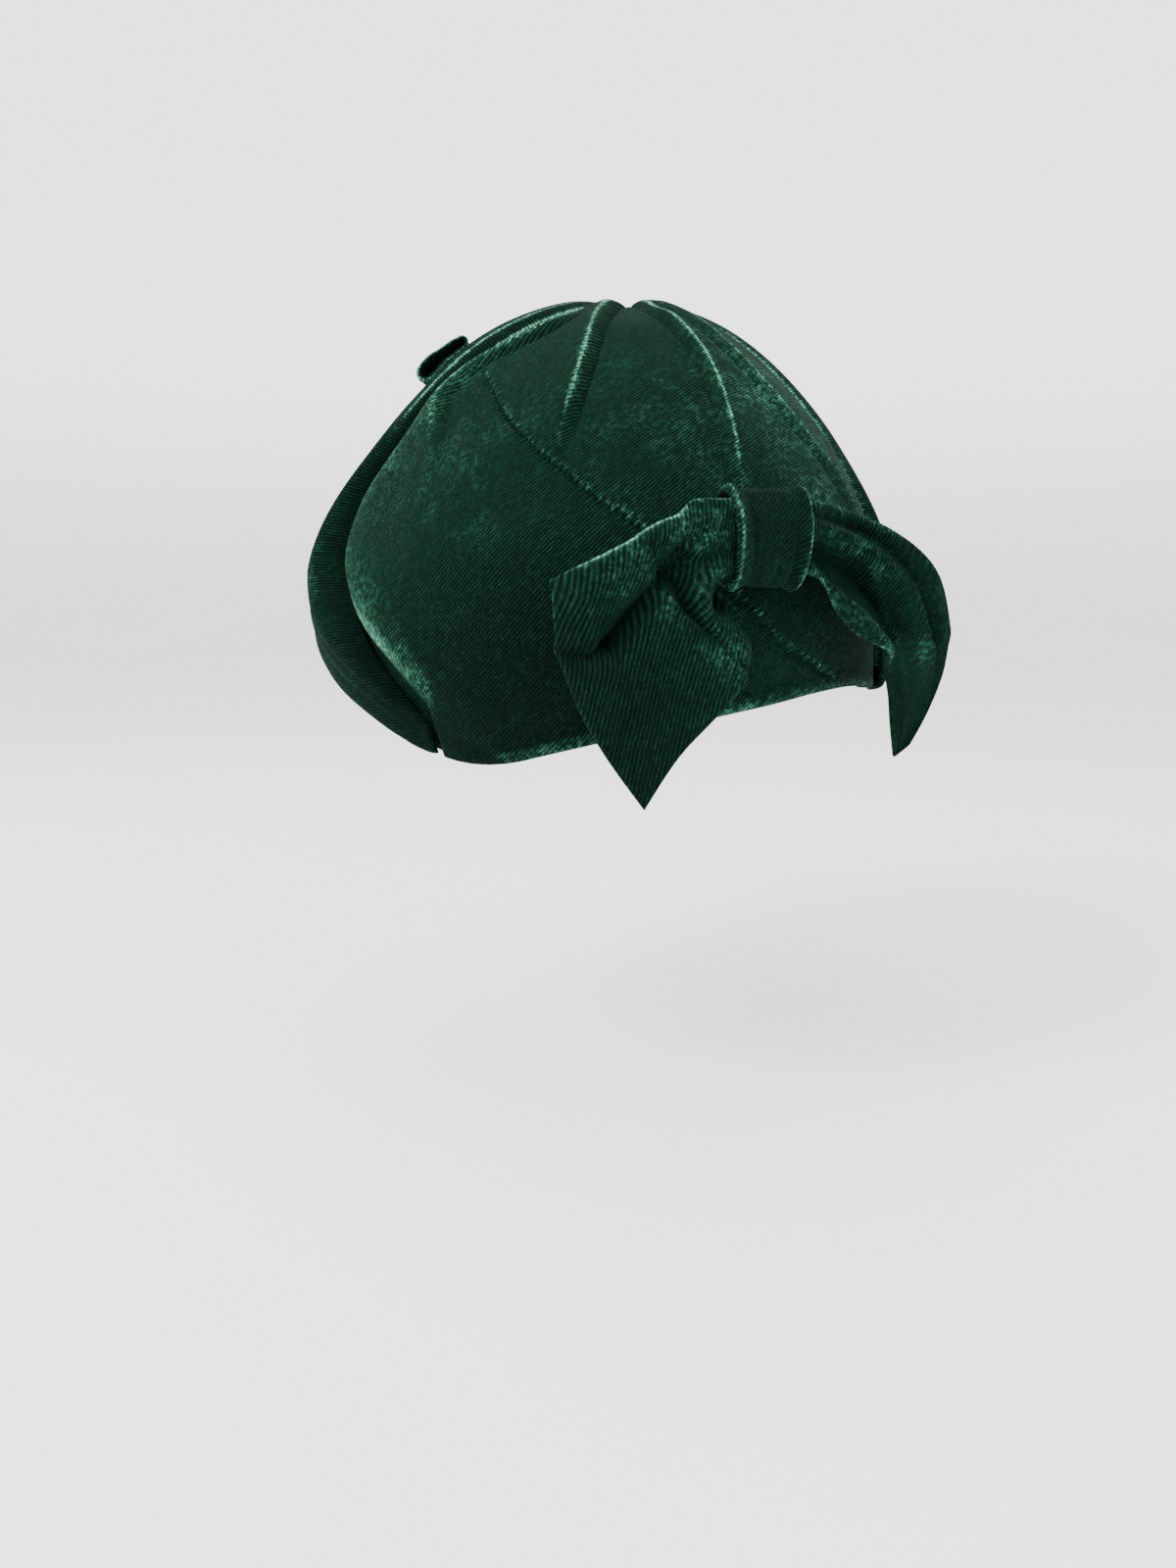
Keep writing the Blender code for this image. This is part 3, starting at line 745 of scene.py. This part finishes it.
def pleat_fields(azimuth, slope):
    """Relief of the pleats, and how near each point is to a crest that catches light. Each
    pleat falls off from its line by its width on either side, less a groove behind it."""
    out = CROWN_REACH * np.cos(np.radians(np.maximum(slope, 0.0))) + 0.004
    relief = np.zeros(np.broadcast(azimuth, slope).shape)
    crest = np.zeros_like(relief)
    for pleat in zip(*PLEATS.values()):
        top, mid, low, slope_top, slope_low, height, before, behind, groove = pleat
        way = np.clip((slope_top - slope) / (slope_top - slope_low), 0.0, 1.0)
        middle = along(way, (top, mid, low))
        aside = np.radians(around(azimuth, middle)) * out
        sharp = min(before, behind)
        side = 1.0 if behind < before else -1.0
        width = np.where(aside < 0.0, before, behind)
        fade = smooth_step(slope, slope_low - 6, slope_low + 16)
        fade = fade * (1.0 - smooth_step(slope, slope_top - 6, slope_top + 3))
        relief += PLEAT_HEIGHT * height * fade * np.exp(-np.abs(aside / width) ** PLEAT_POWER)
        relief -= groove * fade * bell(aside - side * (sharp + GROOVE_PLACE), GROOVE_WIDTH)
        crest = np.maximum(crest, fade * bell(aside - side * CREST_PLACE, CREST_WIDTH))
    return relief, crest


def crown_lift(azimuth, slope):
    """Lift of the crown's outer face and its painted light. The lift adds pleats, the seam's lap
    and groove, a puff beside the brim and unevenness, and sinks to the seat under the brim. The
    painted light is the strongest of the painted highlights on crests and seam and the painted
    sheen patches, or the painted shade in the crease beside the brim, the seam's groove and low on
    the crown where that is stronger."""
    relief, crest = pleat_fields(azimuth, slope)
    below = np.radians(slope - seam_slope(azimuth)) * CROWN_RISE
    seam_fade = smooth_step(azimuth, *SEAM_START)
    lap = SEAM_LAP * seam_fade * smooth_step(below, -0.0006, 0.0006) * bell(below, 0.009)
    lap -= SEAM_GROOVE * seam_fade * bell(below + 0.0009, 0.0010)
    seam_light = seam_fade * bell(below - 0.0010, 0.0008)
    inside, beyond = inside_brim(azimuth, slope)
    seat = smooth_step(inside, -BRIM_DIP - BRIM_MARGIN, -BRIM_MARGIN)
    seat = seat * (1.0 - smooth_step(beyond, 0.0005, 0.0050))
    points = form(azimuth, slope, 0.0)
    puff = PUFF_HEIGHT * bell(inside - PUFF_PLACE, PUFF_WIDTH) * smooth_step(slope, -36, -12)
    puff = puff * (1.0 - smooth_step(slope, 34, 60)) * bell(around(azimuth, 105), 40)
    lift = relief + lap + puff + grain(points, CROWN_GRAIN)
    lift = lift * (1.0 - seat) - BRIM_SEAT * seat
    # Painted sheen beside the brim's crease and in the listed patches
    painted_sheen_patches = 0.88 * bell(inside + 0.014, 0.013) * bell(around(azimuth, 103), 24)
    painted_sheen_patches = painted_sheen_patches * smooth_step(slope, -42, -12) * (1.0 - smooth_step(slope, 26, 60))
    for middle, width, level, height, strength in zip(*CROWN_SHEEN_PATCHES.values()):
        painted_sheen_patches += strength * bell(around(azimuth, middle), width) * bell(slope - level, height)
    light = np.maximum(np.maximum(0.95 * crest, 0.80 * seam_light), painted_sheen_patches)
    # Painted shade in the crease beside the brim, in the seam's groove and low on the crown round
    # azimuth 138
    painted_shade_field = 0.9 * bell(inside + 0.003, 0.006) + 0.5 * seam_fade * bell(below + 0.0010, 0.0010)
    painted_shade_field = np.maximum(painted_shade_field, 0.85 * bell(around(azimuth, 138), 24) * smooth_step(-slope, -8, 18))
    light = np.where(painted_shade_field > light, -painted_shade_field, light)
    return lift, np.clip(light * (1.0 - seat), -1.0, 1.0)


def build_crown():
    """Crown: the form's points over a grid that is finest at the back and left."""
    pace = np.interp(np.arange(0.0, 360.0, 0.25), (0, 80, 95, 236, 250, 360),
                     (0.45, 0.45, 1.9, 1.9, 0.45, 0.45))
    travelled = np.concatenate(([0.0], np.cumsum(pace)))
    azimuth = np.interp(np.arange(CROWN_COLUMNS) / CROWN_COLUMNS * travelled[-1], travelled,
                        np.arange(0.0, 360.1, 0.25))[::-1]
    rim = round_value(azimuth, CROWN, "rim")
    way = np.concatenate((
        np.linspace(0.0, 0.05, 5)[:-1], np.linspace(0.05, 0.965, 96)[:-1],
        0.965 + 0.035 * (1.0 - (1.0 - np.linspace(0.0, 1.0, 14)) ** 1.6),
    ))[:, None]
    slope = 90.0 + (rim - 90.0) * way
    azimuth = azimuth[None, :] + 0.0 * slope
    lift, light = crown_lift(azimuth, slope)
    points = form(azimuth, slope, lift - CLOTH / 2)
    length = run_length(points, 0)
    away = length[-1:] - length
    half = half_wall(away, CLOTH * 0.94, 0.30)
    seat = smooth_step(inside_brim(azimuth, slope)[0], -0.012, -0.004)
    hem = bells(away, CROWN_HEM) * (1.0 - seat)
    hem_light = bells(away, CROWN_HEM_LIGHT) * (1.0 - seat)
    light = np.where(hem_light > 0.1, np.maximum(light, hem_light), light)
    heading = direction(azimuth, slope)
    heading = np.concatenate((heading, heading[:, :1]), axis=1)
    flat = np.stack((ring_distance(heading, 46.0, 41.6), ring_distance(heading, 200.0, 45.0)),
                    axis=-1)
    piece = closed_cloth("crown_velvet_shell", points, half + hem, half, flat, light,
                         ring=True, pole=True)
    area = grid_area(points, ring=True)
    material = velvet("crown_velvet_cloth", CROWN_PITCH, 1.00, 0.70)
    dress(piece, material, "crown", area)


def build_brim():
    """Brim: the way from its folded edge to its rim at each position, lifted by its section."""
    position = edge_grid(BRIM_GRID[0], 0.35)
    step = edge_grid(BRIM_GRID[1], 0.45)
    way = along(step, BRIM_SECTION["way"])[None, :]
    rise = along(step, BRIM_SECTION["lift"])[None, :]
    edge, rim = brim_lines(position)
    heading = edge[:, None] * (1.0 - way[..., None]) + rim[:, None] * way[..., None]
    heading /= np.linalg.norm(heading, axis=-1, keepdims=True)
    azimuth = np.degrees(np.arctan2(heading[..., 0], -heading[..., 1]))
    slope = np.degrees(np.arcsin(np.clip(heading[..., 2], -1.0, 1.0)))
    share = along(position, BRIM["lift"])[:, None]
    base = CLOTH / 2 + 1.5 * GAP - BRIM_SEAT
    inner = form(azimuth, slope, base)
    inside = smooth_step(way, 0.02, 0.25) * (1.0 - smooth_step(way, 0.86, 1.0))
    ends = smooth_step(position, 0.03, 0.16) * (1.0 - smooth_step(position, 0.86, 0.98))
    soft = np.sin(2.0 * math.pi * (2.6 * way + 1.4 * position[:, None] + 0.2))
    fold = BRIM_SWELL * soft * smooth_step(position, 0.22, 0.38)[:, None]
    high = smooth_step(position, 0.26, 0.34) * (1.0 - smooth_step(position, 0.52, 0.62))
    fold = fold + BRIM_RIDGE * high[:, None] * bell(way - 0.085, 0.030) + grain(inner, BRIM_GRAIN)
    lift = share * rise * BRIM_LIFT + fold * inside * ends[:, None]
    lift = lift + BRIM_END_RISE * (1.0 - smooth_step(position, 0.0, 0.09))[:, None]
    points = form(azimuth, slope, base + lift)
    length = run_length(points, 1)
    away = np.minimum(length, length[:, -1:] - length)
    ending = run_length(points, 0)
    away = np.minimum(away, np.minimum(ending, ending[-1:] - ending))
    half = half_wall(away, CLOTH * 0.92, 0.25)
    rolled = 1.0 - smooth_step(position, 0.24, 0.36)[:, None]
    risen = smooth_step(position, 0.07, 0.17)[:, None]
    # Painted light along the roll's outer band and painted shade on its low end; then painted
    # highlights along the folded edge, the rim and the fold's lines, with painted shade in the
    # roll's crease and beside one fold line
    outer = risen * bells(length, BRIM_ROLL_LIGHT) - 0.35 * (1.0 - risen)
    light = bells(length, BRIM_EDGE_LIGHT) * (1.0 - rolled)
    light = light + bells(length[:, -1:] - length, BRIM_RIM_LIGHT)
    light = light + rolled * (outer + bells(length, BRIM_ROLL_SHADE))
    light = light + high[:, None] * bells(length, BRIM_FOLD_LIGHT)
    flat = np.stack((ring_distance(heading, 110.0, -65.0), ring_distance(heading, 200.0, 0.0)),
                    axis=-1)
    piece = closed_cloth("brim_velvet_sheet", points[:, ::-1], half[:, ::-1], half[:, ::-1],
                         flat[:, ::-1], light[:, ::-1])
    material = velvet("brim_velvet_cloth", BRIM_PITCH, 0.95, 0.55)
    dress(piece, material, "brim",
          grid_area(points))


def build_loop():
    """Front loop: a closed section on the form, carried along azimuths."""
    azimuth = np.linspace(*LOOP_AZIMUTHS, LOOP_GRID[0])[:, None]
    turn = np.arange(LOOP_GRID[1]) / LOOP_GRID[1]
    closed = {name: np.append(values, values[:1]) for name, values in LOOP.items()}
    slope = along(turn, closed["slope"])[None, :]
    lift = along(turn, closed["lift"])[None, :] * LOOP_LIFT
    seat = BRIM_LIFT * LOOP_SEAT + GAP
    points = form(azimuth, slope, lift + seat)
    middle = points.mean(axis=1, keepdims=True)
    spread = points - middle
    points = points - spread / np.linalg.norm(spread, axis=-1, keepdims=True) * LOOP_CLOTH / 2
    length = run_length(points, 0)
    away = np.minimum(length, length[-1:] - length)
    half = half_wall(away, LOOP_CLOTH * 0.92, 0.15)
    front = half + grain(points, LOOP_GRAIN) * (away > 0.002)
    light = bells(away, LOOP_HEM_LIGHT) + 0.25 + 0.0 * half
    places = np.concatenate((points, points[:, :1]), axis=1)
    flat = np.stack((run_length(places, 1), run_length(places, 0)), axis=-1)
    piece = closed_cloth("front_loop_velvet", points, front, half, flat, light, ring=True)
    material = velvet("front_loop_cloth", BRIM_PITCH, 0.80, 0.60)
    dress(piece, material, "front_loop",
          grid_area(points, ring=True))


def knot_middle():
    """Middle of the knot, set so that its back just clears the crown all over."""
    azimuth = 180.0 - math.degrees(math.asin(KNOT_SIDE / CROWN_REACH))
    low, high = (Vector(corner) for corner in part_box("bow_knot"))
    middle = form(azimuth, KNOT_SLOPE, 0.0)
    middle[1] = (low.y + high.y) / 2
    return middle


def build_knot():
    """Bow knot: an ellipse round the bow's line with flared, thicker hems and a few creases."""
    turn = (np.arange(KNOT_GRID[1]) / KNOT_GRID[1] * 2.0 * math.pi)[None, :]
    across = (edge_grid(KNOT_GRID[0], 0.4) - 0.5)[:, None]
    flare = 1.0 + (KNOT_FLARE - 1.0) * np.abs(2.0 * across) ** 3
    narrow = 1.0 + KNOT_NARROW * np.sin(turn)
    depth = KNOT_DEPTH / 2 - KNOT_CLOTH / 2
    height = KNOT_HEIGHT / 2 - KNOT_CLOTH / 2
    points = np.stack((
        -across * KNOT_WIDTH * narrow,
        depth * np.cos(turn) * flare,
        height * np.sin(turn) * flare,
    ), axis=-1) + knot_middle()
    length = run_length(points, 0)
    away = np.minimum(length, length[-1:] - length)
    half = half_wall(away, KNOT_CLOTH * 0.95, 0.10)
    low = bell(around(np.degrees(turn), -60), 42)
    crease = -0.0007 * bell(across - 0.10 - 0.05 * np.sin(turn), 0.05) * low
    crease = crease - 0.0006 * bell(across + 0.20, 0.05) * low
    relief = crease + bells(away, KNOT_HEM) + grain(points, KNOT_GRAIN)
    front = half + relief * (away > 0.0005)
    light = bells(away, KNOT_HEM_LIGHT) - 0.02 + 0.0 * half
    places = np.concatenate((points, points[:, :1]), axis=1)
    around_it = run_length(places, 1)
    beside = run_length(places, 0)
    flat = np.stack((0.72 * around_it - 0.69 * beside, around_it), axis=-1)
    piece = closed_cloth("bow_knot_velvet", points[::-1], front[::-1], half[::-1], flat[::-1],
                         light[::-1], ring=True)
    material = velvet("bow_knot_cloth", KNOT_PITCH, 0.70, 0.55)
    dress(piece, material, "bow_knot",
          grid_area(points, ring=True))


def fold_relief(places, folds):
    """Height of the folds at places on a tail, as a share of TAIL_FOLD: each falls off with the
    distance from its run, by its own width on either side."""
    relief = np.zeros(places.shape[:-1])
    for fold in zip(*folds.values()):
        run = along(np.linspace(0.0, 1.0, FOLD_STEPS), np.reshape(fold[:8], (4, 2)))
        height, left, right = fold[8:]
        away = places[..., None, :] - run
        nearest = np.linalg.norm(away, axis=-1).argmin(axis=-1)
        away = np.take_along_axis(away, nearest[..., None, None], axis=-2)[..., 0, :]
        heading = np.gradient(run, axis=0)[nearest]
        turned = heading[..., 0] * away[..., 1] - heading[..., 1] * away[..., 0]
        width = np.where(turned > 0.0, left, right)
        relief += height * np.exp(-(np.linalg.norm(away, axis=-1) / width) ** 1.6)
    return relief


def build_tail(name, rows, folds, side, light_all_over, rib_turn=None):
    """Tail: straight lines between an upper and a lower edge, bent by folds that fill the
    knot's mouth, with raised ribs across it or, with a turn, across its face at that angle.
    It gets painted light on the folds' crests and painted shade in their hollows, and painted
    light all over by a share given as an argument."""
    way = edge_grid(TAIL_GRID[0], 0.15)
    across = edge_grid(TAIL_GRID[1], 0.30)
    root = (KNOT_HEIGHT / 2 - KNOT_CLOTH - TAIL_ROOM) / TAIL_SPAN
    rows = rows | {
        "top_up": np.append((root, root), rows["top_up"][2:]),
        "low_up": np.append((-root, -root), rows["low_up"][2:]),
    }
    edges = [
        np.stack([along(way, rows[f"{edge}_{axis}"]) for axis in ("along", "out", "up")], axis=-1)
        for edge in ("top", "low")
    ]
    sheet = edges[0][:, None] * (1.0 - across[:, None]) + edges[1][:, None] * across[:, None]
    sheet[..., 0] += along(way, rows["belly"])[:, None] * np.sin(math.pi * across)
    points = sheet * TAIL_SPAN * np.array((side, 1.0, 1.0))
    depth = fold_relief(sheet[..., ::2], folds) * TAIL_FOLD
    held = np.clip(depth, -FOLD_HELD, FOLD_HELD) * smooth_step(sheet[..., 0], 0.04, 0.12)
    depth = held + (depth - held) * smooth_step(sheet[..., 0], *FOLD_ROOT)
    points[..., 1] += depth
    points = points + knot_middle()
    over, beside = run_length(points, 0), run_length(points, 1)
    away = np.minimum(np.minimum(beside, beside[:, -1:] - beside), over[-1:] - over)
    away = np.minimum(away, over)
    half = half_wall(away, TAIL_CLOTH * 0.92, 0.18)
    level = over.mean(axis=1, keepdims=True) * 0.6 + over * 0.4
    if rib_turn is not None:
        turned = math.radians(rib_turn)
        level = sheet[..., 0] * math.sin(turned) + sheet[..., 2] * math.cos(turned)
        level = level * TAIL_SPAN + 0.12 * depth
    ribs = RIB_HEIGHT * np.sin(2.0 * math.pi * level / TAIL_PITCH) * (away > 0.0012)
    ribs = ribs * smooth_step(level, 0.004, 0.012)
    uneven = grain(points, TAIL_GRAIN) * smooth_step(level, 0.010, 0.024)
    # Painted highlight along the hems; painted light on the fold crests and painted shade in the
    # fold hollows
    hem = bells(away, TAIL_HEM_LIGHT) * (1.0 - 0.4 * across)
    light = hem + np.clip(1.2 * (depth / TAIL_FOLD - 0.40) + light_all_over, -1.0, 0.36)
    flat = np.stack((level, beside), axis=-1)
    order = slice(None, None, -1) if side > 0 else slice(None, None, 1)
    piece = closed_cloth(
        f"{name}_velvet", points[:, order], (half + ribs + uneven)[:, order],
        (half + ribs)[:, order], flat[:, order], np.clip(light, -1.0, 1.0)[:, order],
    )
    material = velvet(f"{name}_cloth", TAIL_PITCH, 1.05, 0.55)
    dress(piece, material, name,
          grid_area(points))


class HatLooks(bpy.types.PropertyGroup):
    """Colours of the velvet, with its painted shade, painted sheen and painted highlight, and its
    fine sizes.
    """

    # The velvet's own dark colour, also used as painted shade in the rib grooves and hollows
    shade: FloatVectorProperty(
        name="Shade", description="Velvet seen into its pile", subtype="COLOR",
        default=(0.0003, 0.0028, 0.0018), min=0.0, max=1.0,
    )
    velvet: FloatVectorProperty(
        name="Velvet", description="Velvet on its ribs", subtype="COLOR",
        default=(0.0030, 0.0285, 0.0165), min=0.0, max=1.0,
    )
    # Painted sheen: colour mixed in where the painted light is high
    painted_sheen: FloatVectorProperty(
        name="Painted sheen", description="Pile that leans into the light", subtype="COLOR",
        default=(0.040, 0.170, 0.108), min=0.0, max=1.0,
    )
    # Painted highlight colour along fold crests and hems
    painted_highlight: FloatVectorProperty(
        name="Glint", description="Tips of the pile along folds", subtype="COLOR",
        default=(0.170, 0.480, 0.340), min=0.0, max=1.0,
    )
    sheen_colour: FloatVectorProperty(
        name="Sheen colour", description="Light on the tips at a glance", subtype="COLOR",
        default=(0.10, 0.50, 0.32), min=0.0, max=1.0,
    )
    sheen: FloatProperty(
        name="Sheen", description="Strength of the pile's sheen", default=0.045, min=0.0, max=1.0,
    )
    rib_depth: FloatProperty(
        name="Rib depth", description="Depth of the velvet's ribs and pile", default=0.00050,
        unit="LENGTH", min=0.0, max=0.002,
    )


class StudioSizes(bpy.types.PropertyGroup):
    """Camera, floor and lights."""

    turn: FloatProperty(
        name="Turn", description="Azimuth that the camera looks from",
        default=math.radians(155.0), subtype="ANGLE",
    )
    pitch: FloatProperty(
        name="Pitch", description="How far the camera looks down",
        default=math.radians(10.0), subtype="ANGLE",
    )
    distance: FloatProperty(
        name="Distance", description="Level distance from the camera to the head's axis",
        default=0.5, unit="LENGTH",
    )
    aside: FloatProperty(
        name="Aside", description="How far the camera stands to its right",
        default=-0.0167, unit="LENGTH",
    )
    height: FloatProperty(
        name="Height", description="Height of the camera", default=-0.104, unit="LENGTH",
    )
    floor: FloatProperty(
        name="Floor", description="Height of the floor", default=-0.300, unit="LENGTH",
    )
    wall: FloatVectorProperty(
        name="Wall", description="Colour of floor and wall", subtype="COLOR",
        default=(0.90, 0.90, 0.88), min=0.0, max=1.0,
    )
    glow: FloatProperty(
        name="Glow", description="Light that the wall adds of its own", default=1.10, min=0.0,
        max=2.0,
    )


class HAT_OT_crown(bpy.types.Operator):
    """Build the pleated crown"""

    bl_idname = "hat.crown"
    bl_label = "Crown"

    def execute(self, context):
        build_crown()
        return {"FINISHED"}


class HAT_OT_brim(bpy.types.Operator):
    """Build the turned-up brim"""

    bl_idname = "hat.brim"
    bl_label = "Brim"

    def execute(self, context):
        build_brim()
        return {"FINISHED"}


class HAT_OT_loop(bpy.types.Operator):
    """Build the front loop"""

    bl_idname = "hat.loop"
    bl_label = "Front loop"

    def execute(self, context):
        build_loop()
        return {"FINISHED"}


class HAT_OT_bow(bpy.types.Operator):
    """Build the knot and both tails of the bow"""

    bl_idname = "hat.bow"
    bl_label = "Bow"

    def execute(self, context):
        build_knot()
        build_tail("bow_tail_left", LEFT_TAIL, LEFT_FOLDS, 1.0, 0.02, rib_turn=80.0)
        build_tail("bow_tail_right", RIGHT_TAIL, RIGHT_FOLDS, -1.0, 0.22)
        return {"FINISHED"}


class HAT_OT_stage(bpy.types.Operator):
    """Build the floor, the lights and the camera"""

    bl_idname = "hat.stage"
    bl_label = "Stage"

    def execute(self, context):
        build_stage(context.scene.hat_studio)
        return {"FINISHED"}


class HAT_PT_panel(bpy.types.Panel):
    """Sidebar panel with the hat's pieces"""

    bl_label = "Tilt Hat"
    bl_idname = "HAT_PT_panel"
    bl_space_type = "VIEW_3D"
    bl_region_type = "UI"
    bl_category = "Tilt Hat"

    def draw(self, context):
        for group in (context.scene.hat_looks, context.scene.hat_studio):
            box = self.layout.box()
            for name in group.__annotations__:
                box.prop(group, name)
        for step in STEPS:
            self.layout.operator(f"hat.{step}")


STEPS = ("crown", "brim", "loop", "bow", "stage")
CLASSES = (
    HatLooks, StudioSizes, HAT_OT_crown, HAT_OT_brim, HAT_OT_loop, HAT_OT_bow, HAT_OT_stage,
    HAT_PT_panel,
)


def area_light(name, place, aim, size, energy, colour):
    """Soft square light that faces a point."""
    light = bpy.data.lights.new(name, "AREA")
    light.shape = "SQUARE"
    light.size = size
    light.energy = energy
    light.color = colour
    lamp = bpy.data.objects.new(name, light)
    lamp.location = place
    lamp.rotation_euler = (Vector(aim) - Vector(place)).to_track_quat("-Z", "Y").to_euler()
    bpy.context.scene.collection.objects.link(lamp)


def build_stage(studio):
    """Pale floor that sweeps up into a wall, soft lights and the camera."""
    toward = Vector((math.sin(studio.turn), -math.cos(studio.turn), 0.0))
    right = (-toward).cross(Vector((0.0, 0.0, 1.0)))
    ahead = -toward * math.cos(studio.pitch) - Vector((0.0, 0.0, math.sin(studio.pitch)))
    above = right.cross(ahead)
    camera = bpy.data.cameras.new("camera")
    camera.sensor_fit = "VERTICAL"
    camera.sensor_height = SENSOR_HEIGHT
    camera.lens = LENS
    camera.clip_start = CLIP_START
    viewer = bpy.data.objects.new("camera", camera)
    turned = Matrix((right, above, -ahead)).transposed().to_4x4()
    turned.translation = toward * studio.distance + right * studio.aside + Vector(
        (0.0, 0.0, studio.height))
    viewer.matrix_world = turned
    bpy.context.scene.collection.objects.link(viewer)
    bpy.context.scene.camera = viewer

    # A round floor whose edge sweeps up: radius and height as a quarter circle, then a wall
    bend = np.radians(np.linspace(0.0, 90.0, 17))
    radius = np.concatenate((
        [0.02, 1.0, 2.0], FLOOR_RADIUS + FLOOR_BEND * np.sin(bend), [FLOOR_RADIUS + FLOOR_BEND],
    ))
    height = np.concatenate((
        [0.0, 0.0, 0.0], FLOOR_BEND - FLOOR_BEND * np.cos(bend), [WALL_HEIGHT],
    ))
    turn = np.radians(np.arange(0.0, 360.0, 5.0))[None, :]
    grid = np.stack((radius[:, None] * np.cos(turn), radius[:, None] * np.sin(turn),
                     height[:, None] + studio.floor + 0.0 * turn), axis=-1)
    rows, columns = grid.shape[:2]
    index = np.arange(rows * columns).reshape(rows, columns)
    after = np.roll(index, -1, axis=1)
    faces = np.stack((index[:-1], index[1:], after[1:], after[:-1]), axis=-1).reshape(-1, 4)
    mesh = bpy.data.meshes.new("studio_floor")
    mesh.from_pydata(grid.reshape(-1, 3).tolist(), [], faces.tolist() + [index[0].tolist()])
    mesh.polygons.foreach_set("use_smooth", np.ones(len(mesh.polygons), bool))
    floor = bpy.data.objects.new("studio_floor", mesh)
    bpy.context.scene.collection.objects.link(floor)
    tree = Tree("studio_paint")
    place = tree.add("ShaderNodeTexCoord").outputs["Object"]
    tone = tree.noise(place, 3.0, 3.0, 0.5, 0.0)
    pale = tuple(0.96 * part for part in studio.wall)
    tree.feed(tree.shader.inputs["Base Color"], tree.mix(tone, rgba(studio.wall), rgba(pale)))
    tree.feed(tree.shader.inputs["Roughness"], 0.95)
    parts = tree.add("ShaderNodeSeparateXYZ", {}, {"Vector": place})
    rise = (Value(tree, parts.outputs["Z"]) - studio.floor).ramp(0.05, 0.90)
    glow = tree.mix(rise, rgba((0.0, 0.0, 0.0)), rgba(studio.wall))
    tree.feed(tree.shader.inputs["Emission Color"], glow)
    tree.feed(tree.shader.inputs["Emission Strength"], studio.glow)
    mesh.materials.append(tree.material)

    for name, left, up, near, size, energy, colour in STUDIO_LIGHTS:
        spot = toward * near - right * left + Vector((0.0, 0.0, up))
        area_light(name, spot, (0.0, 0.0, AIM_HEIGHT), size, energy, colour)
    world = bpy.data.worlds.new("studio_air")
    bpy.context.scene.world = world
    world.use_nodes = True
    background = world.node_tree.nodes["Background"]
    background.inputs["Color"].default_value = AIR_COLOUR
    background.inputs["Strength"].default_value = AIR_STRENGTH


def register():
    for item in CLASSES:
        bpy.utils.register_class(item)
    bpy.types.Scene.hat_looks = PointerProperty(type=HatLooks)
    bpy.types.Scene.hat_studio = PointerProperty(type=StudioSizes)


def unregister():
    del bpy.types.Scene.hat_studio
    del bpy.types.Scene.hat_looks
    for item in reversed(CLASSES):
        bpy.utils.unregister_class(item)


def main():
    """Run the operators in order and keep the two boxes."""
    register()
    for step in STEPS:
        getattr(bpy.ops.hat, step)()


if __name__ == "__main__":
    main()
